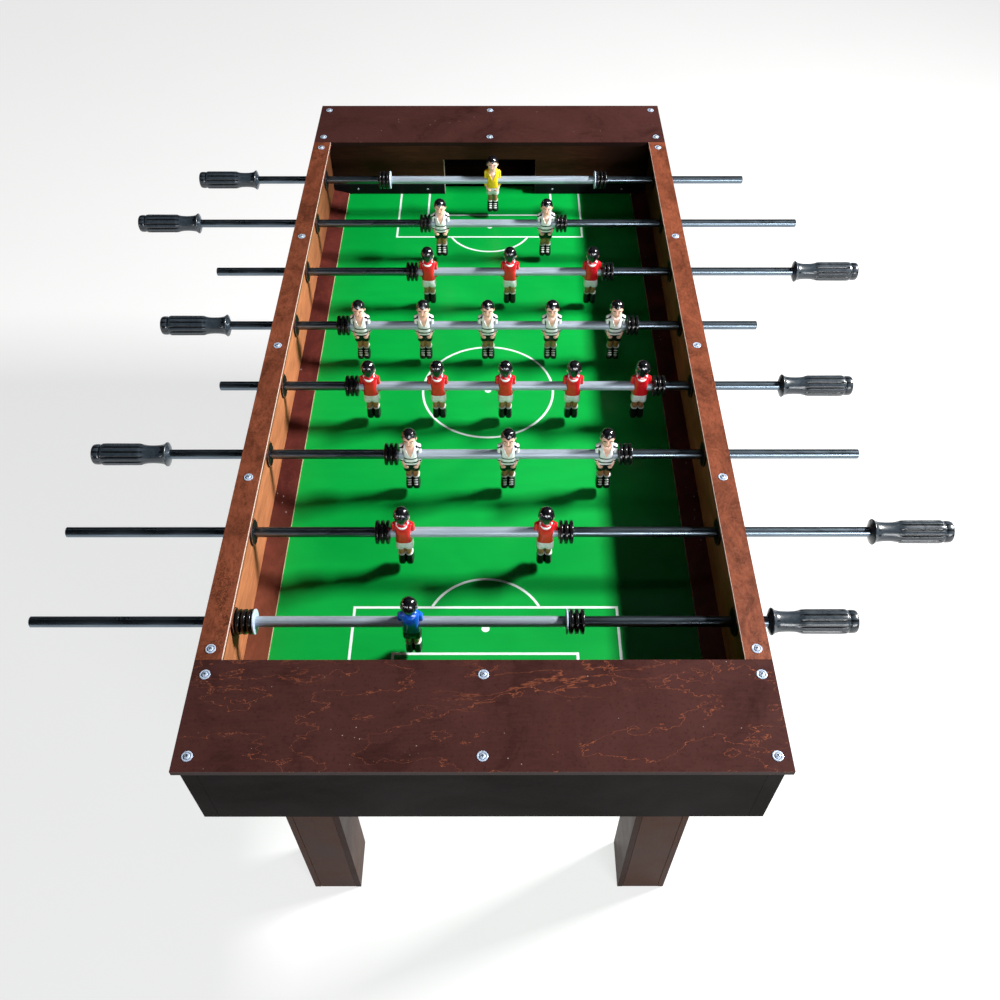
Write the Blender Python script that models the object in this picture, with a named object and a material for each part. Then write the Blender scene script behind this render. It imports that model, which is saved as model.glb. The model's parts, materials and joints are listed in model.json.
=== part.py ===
"""Foosball table: cabinet, playfield, legs and eight rods with figures and handles.

Units are metres, +Z is up and the floor is z = 0. The rods run along X, the field runs
along Y, and the near end of the table is -Y.
"""

import math

import bmesh
import bpy
from mathutils import Vector

# ---------------------------------------------------------------- overall sizes
TOP_LENGTH = 1.434
TOP_WIDTH = 0.682
TOP_HEIGHT = 0.800
BOARD_THICKNESS = 0.008
END_BOARD_WIDTH = 0.140
TRIM_WIDTH = 0.032
PANEL_THICKNESS = 0.018
TRIM_LIP = 0.006
END_LIP = 0.008
END_OVERHANG = 0.003

# ---------------------------------------------------------------- field
FIELD_DROP = 0.113
FIELD_THICKNESS = 0.010
RAMP_WIDTH = 0.029
RAMP_HIGH = 0.009
RAMP_LOW = 0.0015
GOAL_WIDTH = 0.182
GOAL_HEIGHT = 0.071
STRIP_HEIGHT = 0.020
STRIP_THICKNESS = 0.009
TRAY_THICKNESS = 0.008
BATTEN_THICKNESS = 0.0285
BATTEN_HEIGHT = 0.008

# ---------------------------------------------------------------- legs
LEG_WIDTH = 0.083
LEG_DEPTH = 0.082

# ---------------------------------------------------------------- rods
ROD_COUNT = 8
ROD_END_GAP = 0.0838
ROD_DROP = 0.035
ROD_RADIUS = 0.007
ROD_BORE_RADIUS = 0.0056
BUSHING_RADIUS = 0.018
BUSHING_FLANGE = 0.003
BUMPER_RADIUS = 0.016
BUMPER_LENGTH = 0.0215
BUMPER_MARGIN = 0.001
STOP_RADIUS = 0.0163
STOP_THICKNESS = 0.002
STOP_SPAN = 0.437
HANDLE_LENGTH = 0.112
HANDLE_BORE_DEPTH = 0.060
HANDLE_CLEARANCE = 0.023
TAIL_STUB = 0.041
GOALIE_TAIL_STUB = 0.053

# ---------------------------------------------------------------- figures
FIGURE_HALF_WIDTH = 0.0165
FIGURE_UP = 0.050
FOOT_CLEARANCE = 0.014
SPACING_TWO = 0.192
SPACING_THREE = 0.141
SPACING_FIVE = 0.104

# ---------------------------------------------------------------- fits and facets
GAP = 0.0003
SIDES = 16

# ---------------------------------------------------------------- sizes that follow
FIELD_Z = TOP_HEIGHT - FIELD_DROP
BOARD_Z = TOP_HEIGHT - BOARD_THICKNESS
CABINET_Z = FIELD_Z - FIELD_THICKNESS - BATTEN_HEIGHT
ROD_Z = TOP_HEIGHT - ROD_DROP
FIGURE_DOWN = ROD_Z - FIELD_Z - FOOT_CLEARANCE
INNER_X = TOP_WIDTH / 2 - TRIM_WIDTH + TRIM_LIP
OUTER_X = INNER_X + PANEL_THICKNESS
END_Y = TOP_LENGTH / 2 - END_OVERHANG
BOARD_Y = TOP_LENGTH / 2 - END_BOARD_WIDTH
GOAL_Y = BOARD_Y + END_LIP
GOAL_BACK_Y = GOAL_Y + PANEL_THICKNESS
ROD_PITCH = 2 * (GOAL_Y - ROD_END_GAP) / (ROD_COUNT - 1)
FACET = math.cos(math.pi / SIDES)
BUSHING_BORE = (ROD_RADIUS + GAP) / FACET
SLEEVE_BORE = BUSHING_BORE

# Rod number, figures on it, side of its handle (-1 left), facing (-1 near) and where it
# rests, from -1 at its left stop to 1 at its right stop. Rod 1 is at the far end.
RODS = (
    (1, 1, -1, -1, 0.065),
    (2, 2, -1, -1, 0.045),
    (3, 3, 1, 1, 0.281),
    (4, 5, -1, -1, 0.0),
    (5, 5, 1, 1, 0.431),
    (6, 3, -1, -1, 0.239),
    (7, 2, 1, 1, -0.085),
    (8, 1, 1, 1, -1.0),
)

# Principled colour, roughness and metallic of each material.
MATERIALS = {
    "wood_dark": ((0.055, 0.026, 0.020), 0.35, 0.0),
    "wood_side": ((0.020, 0.014, 0.012), 0.45, 0.0),
    "wood_trim": ((0.16, 0.045, 0.025), 0.40, 0.0),
    "field_green": ((0.0, 0.32, 0.045), 0.25, 0.0),
    "steel": ((0.45, 0.46, 0.48), 0.25, 1.0),
    "black_plastic": ((0.012, 0.013, 0.015), 0.40, 0.0),
    "figure_white": ((0.80, 0.80, 0.80), 0.25, 0.0),
    "figure_red": ((0.55, 0.01, 0.02), 0.25, 0.0),
    "figure_yellow": ((0.75, 0.52, 0.02), 0.25, 0.0),
    "figure_blue": ((0.01, 0.12, 0.55), 0.25, 0.0),
}


def clear_scene():
    for obj in list(bpy.data.objects):
        bpy.data.objects.remove(obj, do_unlink=True)


def material(name):
    found = bpy.data.materials.get(name)
    if found:
        return found
    colour, roughness, metallic = MATERIALS[name]
    made = bpy.data.materials.new(name)
    made.use_nodes = True
    shader = made.node_tree.nodes["Principled BSDF"]
    shader.inputs["Base Color"].default_value = (*colour, 1.0)
    shader.inputs["Roughness"].default_value = roughness
    shader.inputs["Metallic"].default_value = metallic
    return made


def place(name, mesh, slot, at=(0.0, 0.0, 0.0), smooth=False):
    obj = bpy.data.objects.new(name, mesh)
    bpy.context.collection.objects.link(obj)
    obj.location = at
    if not mesh.materials:
        mesh.materials.append(material(slot))
    for face in mesh.polygons:
        face.use_smooth = smooth
    return obj


def mesh_from(name, verts, faces):
    mesh = bpy.data.meshes.new(name)
    mesh.from_pydata(verts, [], faces)
    work = bmesh.new()
    work.from_mesh(mesh)
    bmesh.ops.recalc_face_normals(work, faces=work.faces)
    work.to_mesh(mesh)
    work.free()
    return mesh


def prism_x(name, outline, x0, x1):
    """A closed solid from a (y, z) outline, extruded from x0 to x1."""
    count = len(outline)
    verts = [(x0, y, z) for y, z in outline] + [(x1, y, z) for y, z in outline]
    faces = [tuple(range(count)), tuple(range(2 * count - 1, count - 1, -1))]
    for i in range(count):
        j = (i + 1) % count
        faces.append((i, j, j + count, i + count))
    return mesh_from(name, verts, faces)


def prism_y(name, outline, y0, y1):
    """A closed solid from an (x, z) outline, extruded from y0 to y1."""
    count = len(outline)
    verts = [(x, y0, z) for x, z in outline] + [(x, y1, z) for x, z in outline]
    faces = [tuple(range(count)), tuple(range(2 * count - 1, count - 1, -1))]
    for i in range(count):
        j = (i + 1) % count
        faces.append((i, j, j + count, i + count))
    return mesh_from(name, verts, faces)


def block(name, low, high):
    outline = [(low[1], low[2]), (high[1], low[2]), (high[1], high[2]), (low[1], high[2])]
    return prism_x(name, outline, low[0], high[0])


def turned(name, profile, closed=False):
    """A solid turned about X from (x, radius) points; closed joins the last to the first."""
    verts = []
    faces = []
    for x, radius in profile:
        for k in range(SIDES):
            angle = 2 * math.pi * (k + 0.5) / SIDES
            verts.append((x, radius * math.cos(angle), radius * math.sin(angle)))
    rings = len(profile)
    last = rings if closed else rings - 1
    for i in range(last):
        a = i * SIDES
        b = ((i + 1) % rings) * SIDES
        for k in range(SIDES):
            m = (k + 1) % SIDES
            faces.append((a + k, a + m, b + m, b + k))
    if not closed:
        faces.append(tuple(range(SIDES)))
        top = (rings - 1) * SIDES
        faces.append(tuple(range(top + SIDES - 1, top - 1, -1)))
    return mesh_from(name, verts, faces)


def combine(obj, cutters, operation):
    """Apply boolean modifiers for the cutters, then remove the cutter objects."""
    for cutter in cutters:
        cutter.hide_render = True
        cutter.display_type = "WIRE"
        change = obj.modifiers.new(operation.lower(), "BOOLEAN")
        change.operation = operation
        change.solver = "EXACT"
        change.object = cutter
    bpy.context.view_layer.update()
    graph = bpy.context.evaluated_depsgraph_get()
    result = bpy.data.meshes.new_from_object(obj.evaluated_get(graph))
    obj.modifiers.clear()
    obj.data = result
    for cutter in cutters:
        bpy.data.objects.remove(cutter, do_unlink=True)
    return obj


def rod_y(number):
    return ((ROD_COUNT + 1) / 2 - number) * ROD_PITCH


def offsets(count):
    """X places of a rod's figures, from its middle."""
    pitch = {1: 0.0, 2: SPACING_TWO, 3: SPACING_THREE, 5: SPACING_FIVE}[count]
    return [(k - (count - 1) / 2) * pitch for k in range(count)]


def bumper_outer(count):
    """Half the length over a rod's two bumpers."""
    if count == 1:
        return STOP_SPAN / 2
    return offsets(count)[-1] + FIGURE_HALF_WIDTH + BUMPER_LENGTH


def travel(count):
    """How far a rod slides from one stop to the other."""
    return 2 * (INNER_X - BUSHING_FLANGE - BUMPER_MARGIN - bumper_outer(count))


def handle_start(count):
    """How far a handle's shoulder is from the rod's middle figure."""
    return travel(count) / 2 + OUTER_X + HANDLE_CLEARANCE


# ---------------------------------------------------------------- cabinet
def make_cabinet():
    top = BOARD_Z - GAP
    for side, name in ((-1, "left"), (1, "right")):
        low_x = min(side * INNER_X, side * OUTER_X)
        panel = place(
            "side_panel_" + name,
            block("panel", (low_x, -END_Y, CABINET_Z), (low_x + PANEL_THICKNESS, END_Y, top)),
            "wood_side",
        )
        rings = []
        bores = []
        start = min(side * (INNER_X - BUSHING_FLANGE), side * (OUTER_X + BUSHING_FLANGE))
        length = PANEL_THICKNESS + 2 * BUSHING_FLANGE
        for number in range(1, ROD_COUNT + 1):
            at = (0.0, rod_y(number), ROD_Z)
            ring = turned("ring", [(start, BUSHING_RADIUS), (start + length, BUSHING_RADIUS)])
            bore = turned(
                "bore",
                [(start - 0.01, BUSHING_BORE), (start + length + 0.01, BUSHING_BORE)],
            )
            rings.append(place("ring", ring, "black_plastic", at))
            bores.append(place("bore", bore, "black_plastic", at))
        combine(panel, rings, "UNION")
        combine(panel, bores, "DIFFERENCE")
        trim_low = min(side * (TOP_WIDTH / 2 - TRIM_WIDTH), side * TOP_WIDTH / 2)
        half = BOARD_Y - GAP
        place(
            "side_trim_" + name,
            block("trim", (trim_low, -half, BOARD_Z), (trim_low + TRIM_WIDTH, half, TOP_HEIGHT)),
            "wood_trim",
        )
    for side, name in ((-1, "near"), (1, "far")):
        half = INNER_X - GAP
        low_y = min(side * END_Y, side * (END_Y - PANEL_THICKNESS))
        place(
            "end_panel_" + name,
            block("end", (-half, low_y, CABINET_Z), (half, low_y + PANEL_THICKNESS, top)),
            "wood_side",
        )
        low_y = min(side * BOARD_Y, side * TOP_LENGTH / 2)
        place(
            "end_board_" + name,
            block(
                "board",
                (-TOP_WIDTH / 2, low_y, BOARD_Z),
                (TOP_WIDTH / 2, low_y + END_BOARD_WIDTH, TOP_HEIGHT),
            ),
            "wood_dark",
        )


# ---------------------------------------------------------------- field
def make_field():
    half = INNER_X - GAP
    place(
        "playfield",
        block(
            "field",
            (-half, -GOAL_BACK_Y, FIELD_Z - FIELD_THICKNESS),
            (half, GOAL_BACK_Y, FIELD_Z),
        ),
        "field_green",
    )
    foot = FIELD_Z + GAP
    ramp_end = GOAL_Y - STRIP_THICKNESS - GAP
    for side, name in ((-1, "left"), (1, "right")):
        inner = side * (half - RAMP_WIDTH)
        outer = side * half
        outline = [
            (inner, foot),
            (outer, foot),
            (outer, foot + RAMP_HIGH),
            (inner, foot + RAMP_LOW),
        ]
        place("side_ramp_" + name, prism_y("ramp", outline, -ramp_end, ramp_end), "wood_dark")
    goal = GOAL_WIDTH / 2
    roof = foot + GOAL_HEIGHT
    top = BOARD_Z - GAP
    for side, name in ((-1, "near"), (1, "far")):
        outline = [
            (-half, foot),
            (-goal, foot),
            (-goal, roof),
            (goal, roof),
            (goal, foot),
            (half, foot),
            (half, top),
            (-half, top),
        ]
        wall = place(
            "goal_wall_" + name,
            prism_y("wall", outline, side * GOAL_Y, side * GOAL_BACK_Y),
            "wood_side",
        )
        strips = []
        for hand in (-1, 1):
            x0, x1 = sorted((hand * goal, hand * half))
            face = side * (GOAL_Y - STRIP_THICKNESS)
            y0, y1 = sorted((face, side * (GOAL_Y + PANEL_THICKNESS / 2)))
            strip = block("strip", (x0, y0, foot), (x1, y1, foot + STRIP_HEIGHT))
            strips.append(place("strip", strip, "black_plastic"))
        combine(wall, strips, "UNION")
        y0, y1 = sorted((side * (GOAL_BACK_Y + GAP), side * (END_Y - PANEL_THICKNESS - GAP)))
        place(
            "ball_tray_" + name,
            block("tray", (-half, y0, CABINET_Z), (half, y1, CABINET_Z + TRAY_THICKNESS)),
            "wood_side",
        )
        y0, y1 = sorted((side * (GOAL_BACK_Y - BATTEN_THICKNESS), side * GOAL_BACK_Y))
        place(
            "field_batten_" + name,
            block("batten", (-half, y0, CABINET_Z), (half, y1, FIELD_Z - FIELD_THICKNESS - GAP)),
            "wood_side",
        )


def make_legs():
    top = FIELD_Z - FIELD_THICKNESS - GAP
    for side_y, end in ((-1, "near"), (1, "far")):
        for side_x, hand in ((-1, "left"), (1, "right")):
            x0, x1 = sorted((side_x * (INNER_X - GAP), side_x * (INNER_X - GAP - LEG_WIDTH)))
            face = GOAL_BACK_Y - BATTEN_THICKNESS - GAP
            y0, y1 = sorted((side_y * face, side_y * (face - LEG_DEPTH)))
            place(
                "leg_" + end + "_" + hand,
                block("leg", (x0, y0, 0.0), (x1, y1, top)),
                "wood_dark",
            )


# ---------------------------------------------------------------- rods
def rod_profile(count, handle_side):
    """Closed (x, radius) profile of the tube and its bumpers, about its middle figure."""
    stub = GOALIE_TAIL_STUB if count == 1 else TAIL_STUB
    tail_x = travel(count) / 2 + OUTER_X + stub
    head_x = handle_start(count) + HANDLE_BORE_DEPTH - GAP
    outer = bumper_outer(count)
    inner = outer - BUMPER_LENGTH + GAP
    half = [(outer, ROD_RADIUS), (outer, BUMPER_RADIUS), (inner, BUMPER_RADIUS)]
    if count == 1:
        step = inner - STOP_THICKNESS
        half += [(inner, STOP_RADIUS), (step, STOP_RADIUS), (step, ROD_RADIUS)]
    else:
        half.append((inner, ROD_RADIUS))
    profile = [(head_x, ROD_RADIUS)] + half
    profile += [(-x, radius) for x, radius in reversed(half)]
    profile += [(-tail_x, ROD_RADIUS), (-tail_x, ROD_BORE_RADIUS), (head_x, ROD_BORE_RADIUS)]
    return [(handle_side * x, radius) for x, radius in profile]


def handle_mesh(handle_side, start):
    """A handle whose shoulder is at start from the middle: turned, with a blind bore."""
    end = HANDLE_LENGTH
    shape = (
        (HANDLE_BORE_DEPTH, SLEEVE_BORE),
        (0.0, SLEEVE_BORE),
        (0.0, 0.0105),
        (0.006, 0.0170),
        (0.011, 0.0175),
        (0.020, 0.0145),
        (0.030, 0.0130),
        (0.040, 0.0140),
        (0.046, 0.0155),
        (end - 0.013, 0.0155),
        (end - 0.011, 0.0145),
        (end - 0.003, 0.0142),
        (end, 0.0110),
    )
    return turned("handle", [(handle_side * (start + x), radius) for x, radius in shape])


def figure_mesh(facing):
    """One moulded player about its rod's axis; facing is the Y direction it looks."""
    wide = FIGURE_HALF_WIDTH
    up = FIGURE_UP
    down = FIGURE_DOWN
    # height, half width, reach to the front, reach to the back
    rings = (
        (-down, 0.0090, 0.0095, 0.0070),
        (-0.95 * down, 0.0110, 0.0135, 0.0090),
        (-0.83 * down, 0.0105, 0.0110, 0.0090),
        (-0.69 * down, 0.0085, 0.0070, 0.0075),
        (-0.46 * down, 0.0095, 0.0080, 0.0080),
        (-0.42 * down, 0.0125, 0.0100, 0.0095),
        (-0.009, wide - 0.0030, 0.0110, 0.0110),
        (0.009, wide - 0.0008, 0.0115, 0.0110),
        (0.019, wide, 0.0090, 0.0090),
        (0.025, wide - 0.0050, 0.0065, 0.0065),
        (0.0285, 0.0060, 0.0055, 0.0060),
        (0.0325, 0.0085, 0.0095, 0.0085),
        (0.042, 0.0105, 0.0105, 0.0105),
        (up, 0.0055, 0.0055, 0.0060),
    )
    verts = []
    faces = []
    per = 8
    for z, half, front, back in rings:
        corner = 0.55
        ring = (
            (half * corner, front),
            (half, front * corner),
            (half, -back * corner),
            (half * corner, -back),
            (-half * corner, -back),
            (-half, -back * corner),
            (-half, front * corner),
            (-half * corner, front),
        )
        verts += [(x, facing * y, z) for x, y in ring]
    for i in range(len(rings) - 1):
        a = i * per
        b = a + per
        for k in range(per):
            m = (k + 1) % per
            faces.append((a + k, a + m, b + m, b + k))
    faces.append(tuple(range(per)))
    top = (len(rings) - 1) * per
    faces.append(tuple(range(top + per - 1, top - 1, -1)))
    body = place("figure", mesh_from("figure", verts, faces), "figure_white")
    bore = turned("bore", [(-0.05, SLEEVE_BORE), (0.05, SLEEVE_BORE)])
    combine(body, [place("bore", bore, "figure_white")], "DIFFERENCE")
    mesh = body.data
    bpy.data.objects.remove(body, do_unlink=True)
    return mesh


def figure_slot(number, facing):
    if number == 1:
        return "figure_yellow"
    if number == 8:
        return "figure_blue"
    return "figure_white" if facing < 0 else "figure_red"


def make_rods():
    shapes = {-1: figure_mesh(-1), 1: figure_mesh(1)}
    painted = {}
    for number, count, handle_side, facing, rest in RODS:
        at = Vector((rest * travel(count) / 2, rod_y(number), ROD_Z))
        tube = turned("rod", rod_profile(count, handle_side), closed=True)
        place("rod_%d" % number, tube, "steel", at, smooth=False)
        handle = handle_mesh(handle_side, handle_start(count))
        place("handle_%d" % number, handle, "black_plastic", at)
        slot = figure_slot(number, facing)
        if slot not in painted:
            mesh = shapes[facing].copy()
            mesh.materials.clear()
            mesh.materials.append(material(slot))
            painted[slot] = mesh
        for index, shift in enumerate(offsets(count)):
            spot = at + Vector((shift, 0.0, 0.0))
            place("figure_%d_%d" % (number, index + 1), painted[slot], slot, spot)


def smooth_round_faces():
    """Shade every turned or moulded piece smooth, with its sharp edges kept."""
    for obj in bpy.data.objects:
        if obj.name.startswith(("rod_", "handle_", "figure_")):
            for face in obj.data.polygons:
                face.use_smooth = True
            obj.data.set_sharp_from_angle(angle=math.radians(40))


clear_scene()
make_cabinet()
make_field()
make_legs()
make_rods()
smooth_round_faces()
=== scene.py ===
"""Foosball table: the looks of the boards, pitch, rods, handles, players and screws."""

import json
import math
import random

import bmesh
import bpy
from bpy.props import FloatProperty, FloatVectorProperty, IntProperty, PointerProperty
from mathutils import Matrix, Vector


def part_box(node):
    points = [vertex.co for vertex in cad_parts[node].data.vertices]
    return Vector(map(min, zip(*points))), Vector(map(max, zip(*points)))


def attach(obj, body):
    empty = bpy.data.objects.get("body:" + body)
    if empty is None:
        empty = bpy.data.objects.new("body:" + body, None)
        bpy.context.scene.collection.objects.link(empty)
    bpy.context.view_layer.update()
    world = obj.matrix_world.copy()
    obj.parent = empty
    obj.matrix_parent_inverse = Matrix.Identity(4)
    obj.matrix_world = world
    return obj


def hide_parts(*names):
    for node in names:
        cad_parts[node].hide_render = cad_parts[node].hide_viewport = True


bl_info = {
    "name": "Foosball table",
    "version": (1, 0, 0),
    "blender": (4, 5, 0),
    "location": "View3D > Sidebar > Foosball",
    "description": "Finishes the boards and makes the rods, handles, players and screws",
    "category": "Object",
}

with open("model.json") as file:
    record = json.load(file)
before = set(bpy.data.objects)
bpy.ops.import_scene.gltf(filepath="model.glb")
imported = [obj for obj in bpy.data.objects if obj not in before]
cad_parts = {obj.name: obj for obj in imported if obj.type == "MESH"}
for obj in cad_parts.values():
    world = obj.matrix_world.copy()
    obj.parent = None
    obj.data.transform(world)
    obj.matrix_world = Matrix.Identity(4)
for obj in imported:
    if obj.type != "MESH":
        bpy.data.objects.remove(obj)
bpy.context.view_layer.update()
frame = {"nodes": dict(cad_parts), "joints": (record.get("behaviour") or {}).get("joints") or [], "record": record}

MM = 0.001

# Places read from the frame: the pitch, the boards, the panels and the goal walls.
FIELD_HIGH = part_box("playfield")[1]
BOARD_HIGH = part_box("end_board_near")[1]
TRIM_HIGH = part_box("side_trim_left")[1]
FIELD_TOP = FIELD_HIGH.z
INNER_X = FIELD_HIGH.x
TABLE_TOP = BOARD_HIGH.z
HALF_WIDTH = BOARD_HIGH.x
TRIM_INNER_X = abs(TRIM_HIGH.x)
TRIM_END_Y = TRIM_HIGH.y
PANEL_OUTER_X = abs(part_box("side_panel_left")[0].x)
STRIP_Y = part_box("goal_wall_far")[0].y
WALL_Y = STRIP_Y + 9 * MM
GOAL_HALF = 91 * MM
GOAL_ROOF = FIELD_TOP + 70 * MM
GAP = 0.3 * MM

# Sizes of the small work that the frame does not hold.
SMALL_EDGE = 0.4 * MM
MARKING_LOW = FIELD_TOP + 0.03 * MM
MARKING_HIGH = FIELD_TOP + 0.16 * MM
LEG_BOARD = 10 * MM
LEG_JOINT = 0.35 * MM
SCREW_INSET_X = 16 * MM
SCREW_ROWS = (20 * MM, 122 * MM)
TRIM_SCREWS_Y = (-562 * MM, -290 * MM, -18 * MM, 268 * MM, 557 * MM)
STRIP_SCREWS_X = (-266 * MM, -126 * MM, 126 * MM, 266 * MM)
STRIP_SCREW_UP = 11 * MM
TUBE_RADIUS = 7.0 * MM
SLEEVE_RADIUS = 7.05 * MM
STOP_RADIUS = 16.3 * MM
BUMPER_SEAT = 21.5 * MM
BUMPER_LENGTH = 21.2 * MM
GOALIE_RODS = (1, 8)
ROD_NUMBERS = range(1, 9)
TEAMS = ("yellow", "white", "red", "white", "red", "white", "red", "blue")
JOINTS = {joint["name"]: joint for joint in frame["joints"]}

# Signs and names of the two ends and the two sides.
ENDS = ((-1, "near"), (1, "far"))
SIDES = ((-1, "left"), (1, "right"))

# Dark ring painted as shade in the groove under a screw's dome, as shares of its radius and height, and a box's
# six faces.
SCREW_GROOVE_SHADE = ((0.60, 0.27), (0.67, 0.27), (0.67, 0.31), (0.60, 0.31))
BOX_FACES = (
    (3, 2, 1, 0), (4, 5, 6, 7), (0, 1, 5, 4), (1, 2, 6, 5), (2, 3, 7, 6), (3, 0, 4, 7),
)


# ------------------------------------------------------------------ properties
def colour(name, description, value):
    return FloatVectorProperty(
        name=name, description=description, subtype="COLOR", size=3, min=0.0, max=1.0, default=value
    )


def length(name, description, value):
    return FloatProperty(name=name, description=description, unit="LENGTH", default=value)


class TableSizes(bpy.types.PropertyGroup):
    screw_radius: length("Screw head radius", "Radius of a top screw's washer head", 6.3 * MM)
    strip_screw_radius: length("Strip screw radius", "Radius of a goal strip's screw", 1.9 * MM)
    edge_round: length("Edge rounding", "How far the boards' edges are eased", 0.7 * MM)
    line_width: length("Line width", "Width of the pitch markings", 3.6 * MM)
    circle_radius: length("Centre circle radius", "Centre line of the centre circle", 107 * MM)
    spot_radius: length("Spot radius", "Radius of the kick-off and penalty spots", 5.5 * MM)
    penalty_half_width: length("Penalty box half width", "Middle to side line", 179 * MM)
    penalty_line: length("Penalty box line", "From the middle of the pitch", 428 * MM)
    goal_half_width: length("Goal box half width", "Middle to side line", 122 * MM)
    goal_line: length("Goal box line", "From the middle of the pitch", 501 * MM)
    penalty_spot: length("Penalty spot", "From the middle of the pitch", 462 * MM)
    penalty_arc: length("Penalty arc radius", "Centre line of the arc round the spot", 81 * MM)
    bushing_radius: length("Bushing radius", "Outside of a rod bushing's flange", 18.6 * MM)
    bumper_radius: length("Bumper radius", "Outside of the bumper's ribs", 16.2 * MM)
    flutes: IntProperty(name="Handle flutes", description="Grooves round a handle", default=12)
    flute_depth: length("Flute depth", "Depth of a handle's grooves", 1.7 * MM)
    ribs: IntProperty(name="Bumper ribs", description="Ribs on each rubber bumper", default=3)


class TableColours(bpy.types.PropertyGroup):
    top_board: colour("Top board", "Mahogany stain on the end boards", (0.046, 0.0165, 0.0145))
    top_vein: colour("Veins", "Bare wood that shows along the veins", (0.24, 0.070, 0.033))
    side_trim: colour("Side trim", "Red-brown stain on the narrow boards", (0.165, 0.046, 0.023))
    panel_outside: colour("Panel outside", "Outside of the cabinet", (0.0050, 0.0035, 0.0030))
    panel_inside: colour("Panel inside", "Inside faces of the cabinet", (0.43, 0.160, 0.072))
    goal_wall: colour("Goal wall", "Inner end walls above their black strip", (0.050, 0.017, 0.009))
    ramp: colour("Ramp", "Stain on the sloping strips", (0.100, 0.020, 0.015))
    pitch: colour("Pitch", "Printed green of the playfield", (0.0, 0.315, 0.042))
    marking: colour("Markings", "White of the pitch lines", (0.78, 0.88, 0.87))
    steel_bright: colour("Bright steel", "Rods between their bumpers", (0.41, 0.485, 0.575))
    steel_dark: colour("Dark steel", "Rods outside their bumpers", (0.17, 0.215, 0.26))
    handle: colour("Handle", "Moulded plastic of the handles", (0.024, 0.033, 0.043))
    rubber: colour("Rubber", "Bumpers", (0.006, 0.006, 0.007))
    zinc: colour("Zinc", "Plated screws and stop washers", (0.50, 0.60, 0.76))
    leg: colour("Leg", "Stain on the legs", (0.035, 0.0138, 0.0080))
    shirt_white: colour("White shirt", "White team", (0.86, 0.88, 0.90))
    shirt_red: colour("Red shirt", "Red team", (0.60, 0.010, 0.018))
    shirt_yellow: colour("Yellow shirt", "White team's goalkeeper", (0.82, 0.56, 0.010))
    shirt_blue: colour("Blue shirt", "Red team's goalkeeper", (0.010, 0.11, 0.62))
    skin: colour("Skin", "Faces and hands", (0.90, 0.53, 0.40))
    legs: colour("Player legs", "Bare legs", (0.46, 0.19, 0.09))
    paint_black: colour("Black paint", "Hair, boots and black shorts", (0.006, 0.006, 0.008))


def sizes():
    return bpy.context.scene.foosball_sizes


def colours():
    return bpy.context.scene.foosball_colours


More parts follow.
